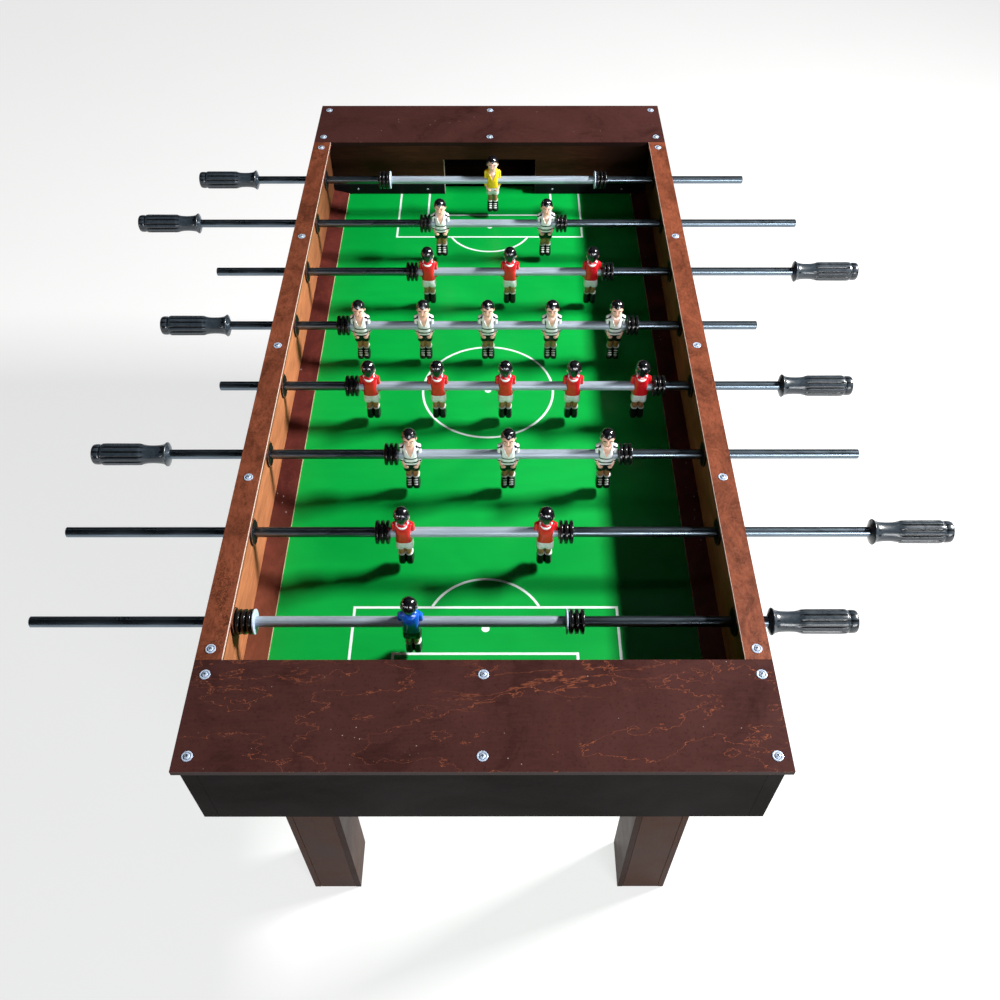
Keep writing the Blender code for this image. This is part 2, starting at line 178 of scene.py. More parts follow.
# ------------------------------------------------------------------ materials
class Finish:
    """One Principled material and the nodes that feed its colour, roughness and bump."""

    def __init__(self, name, metallic=0.0, coat=0.0, coat_roughness=0.1, specular=0.5):
        self.material = bpy.data.materials.new(name)
        self.material.use_nodes = True
        self.tree = self.material.node_tree
        self.shader = self.tree.nodes["Principled BSDF"]
        self.shader.inputs["Metallic"].default_value = metallic
        self.shader.inputs["Coat Weight"].default_value = coat
        self.shader.inputs["Coat Roughness"].default_value = coat_roughness
        self.shader.inputs["Specular IOR Level"].default_value = specular
        self.place = self.tree.nodes.new("ShaderNodeTexCoord").outputs["Object"]

    def node(self, kind, **values):
        made = self.tree.nodes.new(kind)
        for key, value in values.items():
            setattr(made, key, value)
        return made

    def feed(self, socket, value):
        if isinstance(value, bpy.types.NodeSocket):
            self.tree.links.new(value, socket)
        elif hasattr(value, "__len__") and len(value) == 3 and socket.type == "RGBA":
            socket.default_value = (*value, 1.0)
        else:
            socket.default_value = value

    def stretched(self, scale, shift=(0.0, 0.0, 0.0)):
        mapping = self.node("ShaderNodeMapping")
        self.feed(mapping.inputs["Vector"], self.place)
        mapping.inputs["Scale"].default_value = scale
        mapping.inputs["Location"].default_value = shift
        return mapping.outputs["Vector"]

    def noise(self, scale, detail=4.0, rough=0.5, warp=0.0, stretch=None, shift=(0, 0, 0)):
        made = self.node("ShaderNodeTexNoise")
        where = self.stretched(stretch or (1, 1, 1), shift)
        self.feed(made.inputs["Vector"], where)
        made.inputs["Scale"].default_value = scale
        made.inputs["Detail"].default_value = detail
        made.inputs["Roughness"].default_value = rough
        made.inputs["Distortion"].default_value = warp
        return made.outputs["Fac"]

    def cells(self, scale, stretch=None):
        made = self.node("ShaderNodeTexVoronoi")
        self.feed(made.inputs["Vector"], self.stretched(stretch or (1, 1, 1)))
        made.inputs["Scale"].default_value = scale
        return made.outputs["Distance"]

    def maths(self, kind, a, b=0.0, clamp=False):
        made = self.node("ShaderNodeMath", operation=kind, use_clamp=clamp)
        self.feed(made.inputs[0], a)
        self.feed(made.inputs[1], b)
        return made.outputs[0]

    def times(self, a, b):
        return self.maths("MULTIPLY", a, b)

    def absolute(self, a):
        return self.maths("ABSOLUTE", a)

    def span(self, value, low, high, start=0.0, end=1.0):
        made = self.node("ShaderNodeMapRange", clamp=True)
        for key, item in (
            ("Value", value),
            ("From Min", low),
            ("From Max", high),
            ("To Min", start),
            ("To Max", end),
        ):
            self.feed(made.inputs[key], item)
        return made.outputs["Result"]

    def mix(self, amount, a, b):
        made = self.node("ShaderNodeMix", data_type="RGBA")
        self.feed(made.inputs[0], amount)
        self.feed(made.inputs[6], a)
        self.feed(made.inputs[7], b)
        return made.outputs[2]

    def axes(self):
        made = self.node("ShaderNodeSeparateXYZ")
        self.feed(made.inputs[0], self.place)
        return made.outputs

    def bump(self, height, distance, strength=1.0):
        made = self.node("ShaderNodeBump")
        made.inputs["Strength"].default_value = strength
        made.inputs["Distance"].default_value = distance
        self.feed(made.inputs["Height"], height)
        self.feed(self.shader.inputs["Normal"], made.outputs["Normal"])

    def close(self, base, roughness):
        self.feed(self.shader.inputs["Base Color"], base)
        self.feed(self.shader.inputs["Roughness"], roughness)
        return self.material


def shade(rgb, factor):
    return tuple(min(1.0, c * factor) for c in rgb)


def stained_board(name, stain, vein=None, along="X", rough=0.34, veins=0.0, specks=0.0, shine=0.30):
    """Stained birch ply: stretched grain, cloudy stain, broken veins of bare wood, dust, and on the end boards a
    painted shade on the front edge.
    """
    made = Finish(name, specular=shine)
    long_axis = {"X": (0.12, 1, 1), "Y": (1, 0.12, 1), "Z": (1, 1, 0.12)}[along]
    grain = made.noise(260, 6, 0.65, 0.4, long_axis)
    cloud = made.noise(11, 6, 0.66, 0.6)
    fleck = made.noise(230, 4, 0.75, 0.4)
    tone = made.mix(made.span(grain, 0.35, 0.68), shade(stain, 0.86), shade(stain, 1.14))
    tone = made.mix(made.span(cloud, 0.38, 0.62, 0.0, 0.85), tone, shade(stain, 1.32))
    tone = made.mix(made.span(cloud, 0.44, 0.30, 0.0, 0.60), tone, shade(stain, 0.50))
    tone = made.mix(made.span(fleck, 0.54, 0.68, 0.0, 0.55), tone, shade(stain, 0.42))
    pores = made.noise(900, 3, 0.7, 0.0, long_axis)
    tone = made.mix(made.span(pores, 0.60, 0.74, 0.0, 0.30), tone, shade(stain, 0.35))
    if veins:
        wide = made.span(made.noise(5.0, 2, 0.5, 0.0, (0.5, 1.3, 1), (4.1, 0.6, 0)), 0.50, 0.66)
        long_lines = vein_lines(made, 2.0, 17.0, (0.75, 1.5, 1.0), (5.3, 0.7, 0.0), 0.0080)
        gaps = made.span(made.noise(4.6, 3, 0.5, 0.0, (0.7, 1.0, 1), (0.9, 2.6, 0)), 0.40, 0.50)
        long_lines = made.times(long_lines, gaps)
        torn = vein_lines(made, 4.4, 9.0, (0.42, 2.2, 1.0), (1.4, 3.1, 0.0), 0.016)
        torn = made.times(torn, wide)
        fray = made.span(made.noise(55, 3, 0.6), 0.30, 0.58, 0.35, 1.0)
        line = made.times(made.maths("MAXIMUM", long_lines, torn), made.times(fray, veins))
        line = made.times(line, made.span(made.axes()[1], -0.1, 0.1, 1.0, 0.10))
        tone = made.mix(line, tone, vein)
    if specks:
        dots = made.span(made.cells(85), 0.0, 0.075, 1.0, 0.0)
        some = made.span(made.noise(16, 2), 0.52, 0.60)
        dots = made.times(made.times(dots, some), specks)
        tone = made.mix(dots, tone, (0.55, 0.42, 0.36))
    # Painted shade: on the end boards the front edge below the top face is painted near black.
    if veins > 0.5:
        front_edge_shade = made.span(made.axes()[2], TABLE_TOP - 1.6 * MM, TABLE_TOP - 0.7 * MM, 0.85, 0.0)
        tone = made.mix(front_edge_shade, tone, (0.010, 0.006, 0.005))
    height = made.maths("ADD", made.times(grain, 0.6), made.times(pores, 0.4))
    made.bump(height, 0.10 * MM, 0.55)
    return made.close(tone, made.span(cloud, 0.3, 0.7, rough - 0.06, rough + 0.08))


def vein_lines(made, scale, folds, stretch, shift, thin):
    """Thin jagged contour lines of a stretched noise; thin is their share of the spacing."""
    wander = made.noise(scale, 8, 0.60, 0.30, stretch, shift)
    steps = made.maths("FRACT", made.times(wander, folds))
    away = made.absolute(made.maths("SUBTRACT", steps, 0.5))
    width = made.span(made.noise(13, 3), 0.38, 0.70, thin, 2.6 * thin)
    return made.span(made.maths("DIVIDE", away, width), 0.5, 1.1, 1.0, 0.0)


def panel_board(name, outside, inside, rough=0.42):
    """Cabinet ply: dark stain on its outer faces, paler warm stain on the inner ones, which carry a painted shade
    towards the far end.
    """
    made = Finish(name, specular=0.02)
    grain = made.noise(200, 6, 0.65, 0.4, (1, 0.10, 1))
    figure = made.noise(38, 4, 0.55, 1.4, (1, 0.30, 0.75))
    cloud = made.noise(6, 3, 0.6, 0.5, (1, 0.5, 1.6))
    x = made.absolute(made.axes()[0])
    y = made.absolute(made.axes()[1])
    inner_x = made.span(x, INNER_X + 2 * MM, INNER_X + 6 * MM, 1.0, 0.0)
    inner_y = made.span(y, WALL_Y + 5 * MM, WALL_Y + 9 * MM, 1.0, 0.0)
    inner = made.times(inner_x, inner_y)
    dark = made.mix(made.span(grain, 0.35, 0.68), shade(outside, 0.75), shade(outside, 1.3))
    warm = made.mix(made.span(grain, 0.35, 0.68), shade(inside, 0.78), shade(inside, 1.18))
    warm = made.mix(made.span(figure, 0.44, 0.62, 0.0, 0.40), warm, shade(inside, 0.50))
    warm = made.mix(made.span(cloud, 0.42, 0.66, 0.0, 0.35), warm, shade(inside, 0.55))
    # Painted shade: the inner faces darken towards the far end, where less light reaches them.
    far = made.span(made.axes()[1], 0.20, 0.52, 0.0, 0.86)
    warm = made.mix(far, warm, shade(inside, 0.10))
    made.bump(grain, 0.08 * MM, 0.5)
    gloss = made.span(cloud, 0.3, 0.7, rough - 0.02, rough + 0.14)
    return made.close(made.mix(inner, dark, warm), gloss)


def moulded(name, base, rough=0.35, coat=0.0, grain=0.05, scale=900.0, specular=0.5):
    """Moulded plastic or rubber: a fine skin texture with faint scuffs."""
    made = Finish(name, coat=coat, coat_roughness=0.08, specular=specular)
    skin = made.noise(scale, 3, 0.6)
    scuff = made.noise(90, 5, 0.7, 0.8)
    tone = made.mix(made.span(scuff, 0.52, 0.75, 0.0, 0.5), base, shade(base, 1.7))
    tone = made.mix(made.span(skin, 0.4, 0.6, 0.0, 0.25), tone, shade(base, 0.8))
    made.bump(skin, grain * MM, 0.6)
    return made.close(tone, made.span(scuff, 0.35, 0.7, rough - 0.05, rough + 0.12))


def fluted_grip(name, base, count):
    """Handle plastic: blue-black ridges, painted shade in the flutes, with handling marks."""
    made = Finish(name, coat=0.35, coat_roughness=0.14)
    x, y, z = made.axes()[:3]
    radius = made.maths("SQRT", made.maths("ADD", made.times(y, y), made.times(z, z)))
    wave = made.maths("COSINE", made.times(made.maths("ARCTAN2", z, y), float(count)))
    groove = made.times(made.span(wave, 0.30, 0.50), made.span(radius, 13.8 * MM, 14.0 * MM))
    groove = made.times(groove, made.span(radius, 15.3 * MM, 15.6 * MM, 1.0, 0.0))
    skin = made.noise(700, 3, 0.6)
    scuff = made.noise(90, 5, 0.7, 0.8)
    tone = made.mix(made.span(scuff, 0.50, 0.75, 0.0, 0.6), base, shade(base, 2.0))
    tone = made.mix(made.span(skin, 0.4, 0.6, 0.0, 0.25), tone, shade(base, 0.8))
    # Painted shade: the flute bottoms are painted near black.
    tone = made.mix(groove, tone, shade(base, 0.12))
    made.bump(skin, 0.05 * MM, 0.6)
    return made.close(tone, made.span(scuff, 0.35, 0.7, 0.24, 0.40))


def gloss_paint(name, base, rough=0.16, coat=0.6, shine=0.4):
    """Glossy paint on a moulded player: brushed unevenness and a clear coat."""
    made = Finish(name, coat=coat, coat_roughness=0.06, specular=shine)
    brush = made.noise(160, 4, 0.55, 0.6)
    pits = made.noise(700, 2, 0.5)
    tone = made.mix(made.span(brush, 0.36, 0.68), shade(base, 0.84), shade(base, 1.10))
    made.bump(made.maths("ADD", made.times(brush, 0.8), made.times(pits, 0.2)), 0.16 * MM, 0.6)
    return made.close(tone, made.span(brush, 0.35, 0.7, rough - 0.04, rough + 0.1))


def drawn_steel(name, base, rough=0.30, metallic=1.0):
    """Drawn tube: streaks along its length, a few darker smears."""
    made = Finish(name, metallic=metallic)
    streak = made.noise(420, 4, 0.6, 0.0, (0.03, 1, 1))
    smear = made.noise(26, 4, 0.65, 0.5, (0.35, 1, 1))
    tone = made.mix(made.span(streak, 0.36, 0.66), shade(base, 0.80), shade(base, 1.15))
    tone = made.mix(made.span(smear, 0.54, 0.72, 0.0, 0.45), tone, shade(base, 0.45))
    made.bump(streak, 0.02 * MM, 0.5)
    return made.close(tone, made.span(smear, 0.3, 0.7, rough - 0.05, rough + 0.14))


def plated(name, base, rough=0.22, metallic=1.0):
    """Zinc plate: bright metal with a faint cloudiness."""
    made = Finish(name, metallic=metallic)
    cloud = made.noise(300, 4, 0.6)
    tone = made.mix(made.span(cloud, 0.35, 0.68), shade(base, 0.82), shade(base, 1.1))
    made.bump(cloud, 0.03 * MM, 0.4)
    return made.close(tone, made.span(cloud, 0.3, 0.7, rough - 0.05, rough + 0.12))


def printed_pitch(name, green):
    """Glossy printed board: even green with faint print bands, haze and a little dust."""
    made = Finish(name, coat=0.12, coat_roughness=0.16, specular=0.25)
    haze = made.noise(5, 3, 0.5, 0.4)
    print_band = made.noise(60, 3, 0.5, 0.0, (0.2, 1, 1))
    tone = made.mix(made.span(haze, 0.35, 0.65), shade(green, 0.88), shade(green, 1.10))
    tone = made.mix(made.span(print_band, 0.4, 0.6, 0.0, 0.16), tone, shade(green, 0.78))
    dust = made.span(made.cells(120), 0.0, 0.03, 1.0, 0.0)
    some = made.span(made.noise(9, 2), 0.58, 0.66, 0.0, 0.5)
    tone = made.mix(made.times(dust, some), tone, (0.5, 0.6, 0.5))
    made.bump(made.noise(180, 3, 0.5), 0.02 * MM, 0.35)
    return made.close(tone, made.span(haze, 0.3, 0.7, 0.34, 0.46))


def goal_board(name, outside, inside, strip):
    """Inner end wall: brown board above, black strip along its foot, painted shade towards the side walls, and
    pale jamb edges with a painted highlight.
    """
    made = Finish(name, specular=0.08)
    grain = made.noise(200, 6, 0.65, 0.4, (0.12, 1, 1))
    cloud = made.noise(7, 3, 0.6, 0.5)
    face = made.mix(made.span(grain, 0.35, 0.68), shade(inside, 0.70), shade(inside, 1.30))
    face = made.mix(made.span(cloud, 0.40, 0.64, 0.0, 0.8), face, shade(inside, 0.45))
    # Painted shade: the wall darkens towards the side walls it meets.
    corner_shade = made.span(made.absolute(made.axes()[0]), 0.20, 0.31, 0.0, 0.7)
    face = made.mix(corner_shade, face, outside)
    y = made.absolute(made.axes()[1])
    on_strip = made.span(y, WALL_Y - 1.2 * MM, WALL_Y - 0.6 * MM, 1.0, 0.0)
    x = made.absolute(made.axes()[0])
    below_roof = made.span(made.axes()[2], GOAL_ROOF, GOAL_ROOF + 0.8 * MM, 1.0, 0.0)
    # Pale band on the goal opening's jambs: a bare wood edge, brightened as a painted highlight where it faces the
    # light.
    jamb_edge_and_highlight = made.times(band(made, x, GOAL_HALF, 0.4 * MM), below_roof)
    # Painted shade: the right jamb, turned away from the light, keeps only a little of the band.
    jamb_edge_and_highlight = made.times(jamb_edge_and_highlight, made.span(made.axes()[0], -0.01, 0.01, 1.0, 0.12))
    face = made.mix(jamb_edge_and_highlight, face, (0.50, 0.40, 0.34))
    # On the black strip the band is a painted highlight on the strip's lit end.
    strip = made.mix(jamb_edge_and_highlight, strip, (0.20, 0.22, 0.24))
    made.bump(grain, 0.06 * MM, 0.5)
    return made.close(made.mix(on_strip, face, strip), made.span(cloud, 0.3, 0.7, 0.34, 0.46))


def striped_shirt(name, white, black):
    """White shirt with two black bands across the chest, a black line where each arm meets the body, and black
    shoulder flashes.
    """
    made = Finish(name, coat=0.6, coat_roughness=0.06)
    brush = made.noise(160, 4, 0.55, 0.6)
    x, y, z = made.axes()[:3]
    wave = made.times(made.maths("SUBTRACT", made.noise(120, 2), 0.5), 1.2 * MM)
    level = made.maths("ADD", z, wave)
    body = made.span(made.absolute(x), 15.6 * MM, 16.2 * MM, 1.0, 0.0)
    away = made.absolute(x)
    upper = band(made, level, 0.4 * MM, 1.1 * MM)
    lower = band(made, level, -7.6 * MM, 1.1 * MM)
    chest = made.times(made.maths("ADD", upper, lower, True), body)
    # Black line down where each arm meets the body.
    arm_line = made.times(band(made, away, 10.3 * MM, 0.95 * MM), body)
    arm_line = made.times(arm_line, made.span(level, 0.0, 0.3 * MM))
    arm_line = made.times(arm_line, made.span(level, 14.0 * MM, 14.4 * MM, 1.0, 0.0))
    flash = band(made, made.maths("ADD", z, made.times(away, 0.9)), 29.0 * MM, 1.35 * MM)
    flash = made.times(flash, made.span(away, 8 * MM, 8.6 * MM))
    ink = made.maths("ADD", made.maths("ADD", chest, arm_line, True), flash, True)
    tone = made.mix(made.span(brush, 0.36, 0.68), shade(white, 0.86), shade(white, 1.12))
    made.bump(brush, 0.16 * MM, 0.6)
    return made.close(made.mix(ink, tone, black), made.span(brush, 0.35, 0.7, 0.13, 0.26))


def band(made, value, centre, half):
    """1 where the value is within half of the centre, with a crisp edge."""
    away = made.absolute(made.maths("SUBTRACT", value, centre))
    return made.span(away, half, half + 0.25 * MM, 1.0, 0.0)


FINISHES = {}


def finish_of(name, maker, *args, **keys):
    """Each finish is made once, the first time a piece asks for it."""
    if name not in FINISHES:
        FINISHES[name] = maker(name, *args, **keys)
    return FINISHES[name]


def player_finishes(team):
    c = colours()
    shirt = {
        "white": lambda: finish_of("shirt_striped", striped_shirt, c.shirt_white, c.paint_black),
        "red": lambda: finish_of("shirt_red", gloss_paint, c.shirt_red),
        "yellow": lambda: finish_of("shirt_yellow", gloss_paint, c.shirt_yellow),
        "blue": lambda: finish_of("shirt_blue", gloss_paint, c.shirt_blue),
    }[team]()
    white = finish_of("paint_white", gloss_paint, c.shirt_white)
    black = finish_of("paint_black", gloss_paint, c.paint_black, 0.16, 0.28, 0.2)
    shorts = black if team in ("white", "blue") else white
    skin = finish_of("skin", gloss_paint, c.skin, 0.22)
    return {
        "shirt": shirt,
        "collar": white if team in ("white", "red") else shirt,
        "shorts": shorts,
        "skin": skin,
        "legs": finish_of("legs", gloss_paint, c.legs, 0.22),
        "black": black,
        "hair": finish_of("hair", gloss_paint, c.paint_black, 0.14, 0.9, 0.5),
        "white": white,
        "lip": finish_of("lip", gloss_paint, (0.35, 0.08, 0.06), 0.25),
    }


# ------------------------------------------------------------------ shapes
class Form:
    """Collects closed shells, each face with a finish, and turns them into one mesh."""

    def __init__(self):
        self.verts = []
        self.faces = []
        self.marks = []

    def shell(self, rings, mark):
        """Skin a list of equal rings of points and close both ends with a point."""
        base = len(self.verts)
        count = len(rings[0])
        for ring in rings:
            self.verts += [Vector(p) for p in ring]
        for i in range(len(rings) - 1):
            a = base + i * count
            b = a + count
            for k in range(count):
                m = (k + 1) % count
                self.add((a + k, a + m, b + m, b + k), mark)
        last = base + (len(rings) - 1) * count
        for ring, at, flip in ((rings[0], base, True), (rings[-1], last, False)):
            middle = len(self.verts)
            self.verts.append(sum((Vector(p) for p in ring), Vector()) / count)
            for k in range(count):
                m = (k + 1) % count
                face = (at + m, at + k, middle) if flip else (at + k, at + m, middle)
                self.add(face, mark)

    def add(self, face, mark):
        self.faces.append(face)
        self.marks.append(mark)

    def loft(self, levels, mark, around=28):
        """Rounded sections up Z: (z, centre x, centre y, half width, half depth, squareness)."""
        rings = []
        for z, cx, cy, rx, ry, square in levels:
            ring = []
            for a in angles(around):
                x = cx + rx * rounded(math.cos(a), square)
                ring.append((x, cy + ry * rounded(math.sin(a), square), z))
            rings.append(ring)
        self.shell(rings, mark)

    def ball(self, centre, radii, mark, around=20, levels=10, turn=None):
        """An ellipsoid, turned about its centre if asked."""
        rings = []
        for i in range(1, levels):
            t = math.pi * i / levels
            ring = []
            for a in angles(around):
                p = Vector((
                    radii[0] * math.sin(t) * math.cos(a),
                    radii[1] * math.sin(t) * math.sin(a),
                    -radii[2] * math.cos(t),
                ))
                if turn:
                    p = turn @ p
                ring.append(Vector(centre) + p)
            rings.append(ring)
        self.shell(rings, mark)

    def limb(self, path, mark, around=16):
        """A round tube through (x, y, z, radius) stations."""
        points = [Vector(p[:3]) for p in path]
        rings = []
        for i, p in enumerate(points):
            ahead = points[min(i + 1, len(points) - 1)] - points[max(i - 1, 0)]
            turn = ahead.to_track_quat("Z", "Y")
            ring = []
            for a in angles(around):
                ring.append(p + turn @ Vector((math.cos(a), math.sin(a), 0)) * path[i][3])
            rings.append(ring)
        self.shell(rings, mark)

    def block(self, low, high, mark):
        """A box between two opposite corners."""
        (x0, y0, z0), (x1, y1, z1) = low, high
        self.prism(((x0, y0), (x1, y0), (x1, y1), (x0, y1)), (z0, z1), mark)

    def prism(self, corners, heights, mark):
        """An upright prism on four (x, y) corners."""
        base = len(self.verts)
        for z in heights:
            self.verts += [Vector((x, y, z)) for x, y in corners]
        for face in BOX_FACES:
            self.add(tuple(base + k for k in face), mark)

    def turned(self, profile, mark, around=48, ripple=None, closed=False):
        """A body of revolution about X from (x, radius) stations."""
        rings = []
        for x, radius in profile:
            ring = []
            for a in angles(around):
                r = radius - (ripple(x, a) if ripple else 0.0)
                ring.append((x, r * math.cos(a), r * math.sin(a)))
            rings.append(ring)
        if closed:
            self.tyre(rings, mark)
        else:
            self.shell(rings, mark)

    def tyre(self, rings, mark):
        """Skin equal rings of points into a body whose last ring joins its first."""
        base = len(self.verts)
        count = len(rings[0])
        for ring in rings:
            self.verts += [Vector(p) for p in ring]
        for i in range(len(rings)):
            a = base + i * count
            b = base + ((i + 1) % len(rings)) * count
            for k in range(count):
                m = (k + 1) % count
                self.add((a + k, a + m, b + m, b + k), mark)

    def mesh(self, name, finishes, smooth=35.0):
        """One Blender mesh with its finishes, sharp where faces meet above the angle."""
        made = bpy.data.meshes.new(name)
        made.from_pydata(self.verts, [], self.faces)
        order = list(dict.fromkeys(self.marks))
        for mark in order:
            made.materials.append(finishes[mark])
        for face, mark in zip(made.polygons, self.marks):
            face.material_index = order.index(mark)
            face.use_smooth = True
        work = bmesh.new()
        work.from_mesh(made)
        bmesh.ops.recalc_face_normals(work, faces=work.faces)
        work.to_mesh(made)
        work.free()
        made.set_sharp_from_angle(angle=math.radians(smooth))
        return made


def angles(around):
    return [2 * math.pi * k / around for k in range(around)]


def circle(x, y, radius, z, around):
    return [(x + radius * math.cos(a), y + radius * math.sin(a), z) for a in angles(around)]


def rounded(value, square):
    """Pushes a circle towards a rounded square; 1 is a circle."""
    return math.copysign(abs(value) ** (1.0 / square), value)


def piece(name, mesh, body, at=(0, 0, 0), replaces=()):
    """A finished mesh, set in place and riding on its body."""
    made = bpy.data.objects.new(name, mesh)
    bpy.context.collection.objects.link(made)
    made.location = at
    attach(made, body)
    if replaces:
        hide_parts(*replaces)
    return made


def ease_edges(node, width):
    """A small rounded edge on a board."""
    change = node.modifiers.new("eased_edges", "BEVEL")
    change.width = width
    change.segments = 2
    change.limit_method = "ANGLE"
    change.angle_limit = math.radians(40)


def dress(name, material, width=0.0):
    """Give a CAD node its finish and, if asked, eased edges."""
    node = frame["nodes"][name]
    node.data.materials.clear()
    node.data.materials.append(material)
    if width:
        ease_edges(node, width)


# ------------------------------------------------------------------ operators
class FOOSBALL_OT_boards(bpy.types.Operator):
    """Stain the top boards, trims, cabinet panels, ramps and goal walls"""

    bl_idname = "foosball.boards"
    bl_label = "Boards"
    bl_options = {"REGISTER", "UNDO"}

    def execute(self, context):
        c = colours()
        ease = sizes().edge_round
        stain = (c.top_board, c.top_vein, "X", 0.32, 0.8, 0.9, 0.06)
        top = finish_of("end_board", stained_board, *stain)
        panel = finish_of("panel", panel_board, c.panel_outside, c.panel_inside)
        wall = finish_of("goal_wall", goal_board, c.panel_outside, c.goal_wall, c.paint_black)
        plain = finish_of("hidden_board", stained_board, c.leg, None, "X", 0.5)
        trim = finish_of("side_trim", trim_board, c.side_trim, c.top_vein)
        for end in ("near", "far"):
            dress("end_board_" + end, top, ease)
            dress("end_panel_" + end, panel, SMALL_EDGE)
            dress("goal_wall_" + end, wall, SMALL_EDGE)
            dress("ball_tray_" + end, plain, SMALL_EDGE)
            dress("field_batten_" + end, plain, SMALL_EDGE)
        for side in ("left", "right"):
            dress("side_trim_" + side, trim, ease)
            dress("side_panel_" + side, panel)
            dress("side_ramp_" + side, finish_of("ramp", ramp_board, c.ramp, c.top_vein))
            self.ramp_edge(side)
        return {"FINISHED"}

    def ramp_edge(self, side):
        """The pale edge of the ramp where it meets the pitch, partly bare wood and partly a painted highlight."""
        low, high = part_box("side_ramp_" + side)
        form = Form()
        inner = high.x if side == "left" else low.x
        x0, x1 = sorted((inner, inner + (0.8 * MM if side == "left" else -0.8 * MM)))
        form.block((x0, low.y, FIELD_TOP + 0.05 * MM), (x1, high.y, FIELD_TOP + 1.2 * MM), "edge")
        # Pale colour: part bare wood, part painted highlight of the lit edge face.
        pale = finish_of("bare_edge", stained_board, (0.44, 0.34, 0.23), None, "Y", 0.45)
        piece("ramp_edge_" + side, form.mesh("ramp_edge", {"edge": pale}), "table")


def ramp_board(name, stain, vein):
    """Sloping strip: mottled dark red stain, painted light turning it orange towards the near end, white scuffs.
    """
    made = Finish(name, specular=0.14)
    cloud = made.noise(17, 6, 0.68, 0.9, (1, 0.45, 1))
    mottle = made.noise(120, 5, 0.7, 0.6, (1, 0.6, 1))
    fleck = made.noise(230, 4, 0.75, 0.4)
    # Painted light: the stain turns orange towards the near end, where more light falls.
    near = made.maths("ADD", made.axes()[1], made.times(cloud, 0.25))
    near = made.span(near, -0.42, -0.12, 1.0, 0.0)
    base = made.mix(near, stain, shade(vein, 0.95))
    tone = made.mix(made.span(cloud, 0.36, 0.62), made.mix(0.62, base, (0.010, 0.003, 0.004)), base)
    smoke = made.mix(0.5, base, (0.012, 0.004, 0.004))
    tone = made.mix(made.span(mottle, 0.44, 0.66, 0.0, 0.60), tone, smoke)
    tone = made.mix(made.span(fleck, 0.56, 0.70, 0.0, 0.55), tone, shade(vein, 0.55))
    dots = made.span(made.cells(150, (1, 0.6, 1)), 0.0, 0.16, 1.0, 0.0)
    some = made.span(made.noise(24, 3, 0.6, 0.0, (1, 0.5, 1)), 0.57, 0.62)
    tone = made.mix(made.times(dots, made.times(some, 0.8)), tone, (0.62, 0.56, 0.54))
    made.bump(made.maths("ADD", mottle, made.times(fleck, 0.6)), 0.15 * MM, 0.7)
    return made.close(tone, made.span(cloud, 0.3, 0.7, 0.32, 0.50))


def trim_board(name, stain, vein):
    """Narrow top board: busy red-brown figure, with its inner top edge paler, partly bare wood and partly a
    painted highlight.
    """
    made = Finish(name, specular=0.22)
    grain = made.noise(300, 6, 0.7, 0.5, (1, 0.35, 1))
    cloud = made.noise(26, 6, 0.68, 1.2, (1, 0.55, 1))
    burl = made.noise(85, 5, 0.6, 2.8)
    curl = made.absolute(made.maths("SUBTRACT", burl, 0.5))
    knot = made.span(made.noise(15, 3, 0.5, 0.5, (1, 0.5, 1), (2.0, 0.4, 0)), 0.46, 0.60)
    fleck = made.noise(210, 4, 0.75, 0.6)
    tone = made.mix(made.span(cloud, 0.38, 0.60), shade(stain, 0.52), shade(stain, 1.22))
    curl = made.times(made.span(curl, 0.0, 0.045, 0.85, 0.0), knot)
    tone = made.mix(curl, tone, shade(vein, 1.35))
    tone = made.mix(made.span(grain, 0.47, 0.66, 0.0, 0.60), tone, shade(stain, 0.38))
    tone = made.mix(made.span(fleck, 0.53, 0.64, 0.0, 0.70), tone, shade(vein, 0.80))
    # Pale inner top edge: partly bare wood, partly a painted highlight along the arris.
    x = made.absolute(made.axes()[0])
    edge = made.span(x, TRIM_INNER_X + 0.20 * MM, TRIM_INNER_X + 0.5 * MM, 1.0, 0.0)
    edge = made.times(edge, made.span(made.axes()[2], TABLE_TOP - 3.2 * MM, TABLE_TOP - 2.6 * MM))
    tone = made.mix(edge, tone, (0.62, 0.48, 0.42))
    made.bump(made.maths("ADD", grain, made.times(fleck, 0.8)), 0.20 * MM, 0.8)
    return made.close(tone, made.span(fleck, 0.35, 0.7, 0.28, 0.48))


